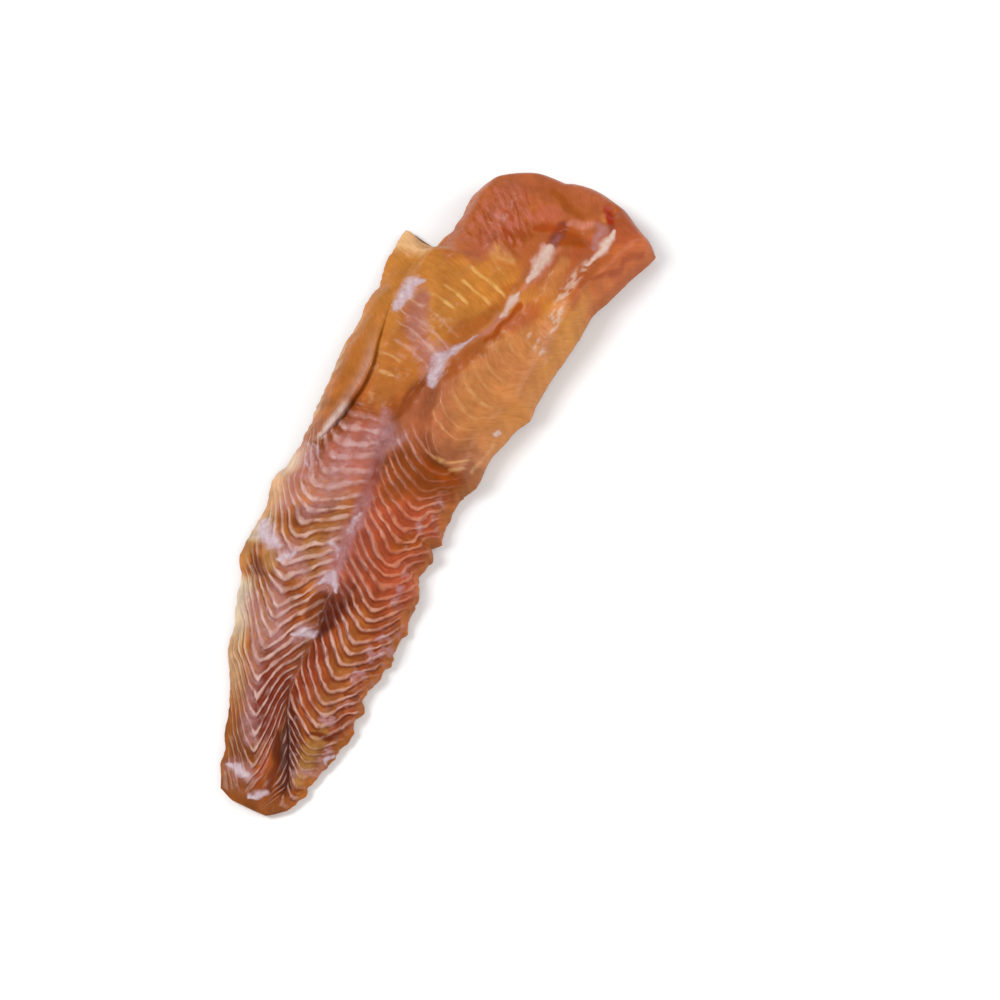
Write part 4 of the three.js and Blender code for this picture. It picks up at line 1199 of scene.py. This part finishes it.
def flesh_material():
    """Moist flesh: flakes with pale lines between them, streaks, haze, film and fat."""
    material, shader = new_material("moist_flesh", FLESH_FINISH)
    tree = material.node_tree
    tint, line_colour = (attribute(tree, name, "Color") for name in ("tint", "line_tint"))
    rows = attribute(tree, "rows", "Vector")
    strength, folds, width = (attribute(tree, name) for name in ("lines", "shade_beside_lines", "width"))
    fibres, haze = attribute(tree, "fibres"), attribute(tree, "haze")
    film, fat = attribute(tree, "film"), attribute(tree, "fat")
    place = tint.node("ShaderNodeTexCoord", out="Object").scaled(1000, 1000, 1000)

    # The pale lines waver and break, and a line of painted shade lies tailward of each: the
    # shadow under the next flake's edge.
    drift = place.noise(0.08, 2) - 0.5
    shake = place.noise(0.3, 3) - 0.5
    count = rows.part("X") + 0.3 * drift + shake * (folds * 0.14 + 0.1)
    phase = count.math("FRACT")
    near = phase.math("MINIMUM", 1 - phase)
    wide = width * place.noise(0.2, 2).step(0.25, 0.75, 0.6, 1.4)
    along_line = rows.scaled(1, 9, 0).noise(1.0, 3)
    broken = along_line.step(0.3, 0.6, 0.2, 1) * place.noise(0.11, 2).step(0.3, 0.62, 0.5, 1)
    line = (near / wide).step(1.55, 0.35) * strength * broken
    valley_shade = phase.step(0.5, 0.78) * phase.step(1, 0.86) * folds

    # Streaks and threads run along the flakes, over soft mottling and a fine grain.
    streaks = rows.scaled(2.7, 7, 0).noise(1.0, 4, 0.62)
    threads = rows.scaled(7, 10, 0).noise(1.0, 3, 0.6)
    mottle = place.noise(0.3, 4, 0.6)
    grain = place.noise(1.7, 4, 0.6)
    spread = folds * 0.18 + 0.1
    bright_threads = threads.step(0.48, 0.7) * (folds * 0.3 + 0.25)
    dark_threads = threads.step(0.5, 0.3) * (folds * 0.12 + 0.18)
    colour = mix(streaks.step(0.4, 0.72) * (folds * 0.4 + 0.06), tint, shown("streak"))
    colour = mix(mottle.step(0.5, 0.75) * spread * 2, colour, colour.scaled(1.4, 1.6, 1.8))
    colour = mix(mottle.step(0.5, 0.25) * spread, colour, shown("mottle"))
    colour = mix(bright_threads, colour, colour.scaled(1.35, 1.5, 1.7))
    colour = mix(dark_threads, colour, shown("thread"))
    # Painted shade: the dark line tailward of each pale line.
    colour = mix(valley_shade * 0.7, colour, shown("valley_shade"))
    colour = mix(line * 0.9, colour, line_colour)

    # Pink and dark fibres run slantwise at the head end.
    along, over = place.part("X"), place.part("Y")
    slant_place = {"X": (along + over) * 0.1, "Y": (along - over) * 0.36}
    slant = along.node("ShaderNodeCombineXYZ", values=slant_place)
    fibre = slant.noise(1.0, 3, 0.6)
    colour = mix(fibre.step(0.5, 0.64) * fibres * 0.75, colour, shown("pink fibre"))
    colour = mix(fibre.step(0.46, 0.34) * fibres * 0.7, colour, shown("dark fibre"))

    # Milky haze, lilac film and white fat lie over it, with ragged edges.
    cloud = place.noise(0.4, 4, 0.6)
    ragged = place.noise(0.65, 5, 0.66) - 0.5
    haze_cover = haze * cloud.step(0.25, 0.7, 0.35, 1.25)
    haze_colour = mix(line * 0.7, shown("haze"), shown("hazy line"))
    film_cover = (film + 0.6 * ragged + 0.2 * (streaks - 0.5)).step(0.32, 0.88)
    film_colour = mix(cloud.step(0.3, 0.75), shown("thin film"), shown("film"))
    fat_edge = (fat + 0.4 * ragged).step(0.2, 0.6)
    fat_cover = (fat + 0.44 * ragged).step(0.34, 0.86)
    fat_colour = mix(cloud.step(0.3, 0.7), shown("thin fat"), shown("fat"))
    colour = mix(haze_cover, colour, haze_colour)
    colour = mix(film_cover * 0.88, colour, film_colour)
    colour = mix(fat_edge * 0.6, colour, shown("fat edge"))
    colour = mix(fat_cover * 0.92, colour, fat_colour)

    # The surface is smoother where the film is, and everything on it stands up a little.
    gloss = grain.step(0.3, 0.7, 0.3, 0.46) - film_cover * 0.06
    relief = line * 0.16 + streaks * 0.1 + threads * 0.12 + grain * 0.07
    relief = relief + film_cover * 0.12 + fat_cover * 0.14
    heights = {"Height": relief, "Distance": MM, "Strength": 0.8}
    bump = place.node("ShaderNodeBump", values=heights)
    for wire, socket in ((colour, "Base Color"), (gloss, "Roughness"), (bump, "Normal")):
        tree.links.new(wire.socket, shader.inputs[socket])
    return material


fillet = new_slab()
facts = shape_slab(fillet)
paint(fillet, facts)
finish_mesh(fillet)
fillet.data.materials.append(flesh_material())
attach(fillet, "root")
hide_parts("fillet")

# The studio, in metres: the camera's height over the table as an angle, the side it stands on,
# how far it is from its target, and its lens and sensor in millimetres.
ELEVATION = math.radians(65)
AZIMUTH = math.radians(-64.2)
CAMERA_DISTANCE = 0.893
LENS = 85
SENSOR_WIDTH = 36
TARGET = Vector((0.00675, -0.03775, 0))
IMAGE_RIGHT = Vector((math.cos(AZIMUTH), math.sin(AZIMUTH), 0))
IMAGE_AWAY = Vector((-math.sin(AZIMUTH), math.cos(AZIMUTH), 0))
FLOOR_SIZE = 6
ROOM_LIGHT = 0.4

# Square lights: how far each is to the image's right, away from it and up, its width and power.
LIGHTS = [
    ("key", -0.95, 0.1, 1.15, 0.6, 16),
    ("fill", 0.2, -1.1, 1.0, 1.2, 7),
    ("side", 1.1, 0.1, 0.6, 0.8, 7),
    ("window", -0.35, 0.9, 1.0, 0.16, 1.3),
]


def aim(thing, target):
    direction = target - thing.location
    thing.rotation_euler = direction.to_track_quat("-Z", "Y").to_euler()


def studio_floor():
    bpy.ops.mesh.primitive_plane_add(size=FLOOR_SIZE)
    floor = bpy.context.object
    floor.name = "studio_floor"
    material, _ = new_material("pale_floor", FLOOR_FINISH)
    floor.data.materials.append(material)


def area_light(name, right, away, height, size, power):
    bpy.ops.object.light_add(type="AREA")
    light = bpy.context.object
    light.name = name
    light.location = IMAGE_RIGHT * right + IMAGE_AWAY * away + Vector((0, 0, height))
    light.data.size = size
    light.data.energy = power
    aim(light, Vector((0, 0, 0)))


def studio_world():
    world = bpy.data.worlds.new("soft_room")
    bpy.context.scene.world = world
    world.use_nodes = True
    background = world.node_tree.nodes["Background"]
    background.inputs["Color"].default_value = (1, 1, 1, 1)
    background.inputs["Strength"].default_value = ROOM_LIGHT


def studio_camera():
    bpy.ops.object.camera_add()
    camera = bpy.context.object
    camera.name = "photo_camera"
    level = IMAGE_AWAY * math.cos(ELEVATION)
    forward = level - Vector((0, 0, math.sin(ELEVATION)))
    camera.location = TARGET - forward * CAMERA_DISTANCE
    camera.data.lens = LENS
    camera.data.sensor_width = SENSOR_WIDTH
    aim(camera, TARGET)
    bpy.context.scene.camera = camera


studio_floor()
for light in LIGHTS:
    area_light(*light)
studio_world()
studio_camera()
bpy.context.scene.view_settings.view_transform = "Standard"
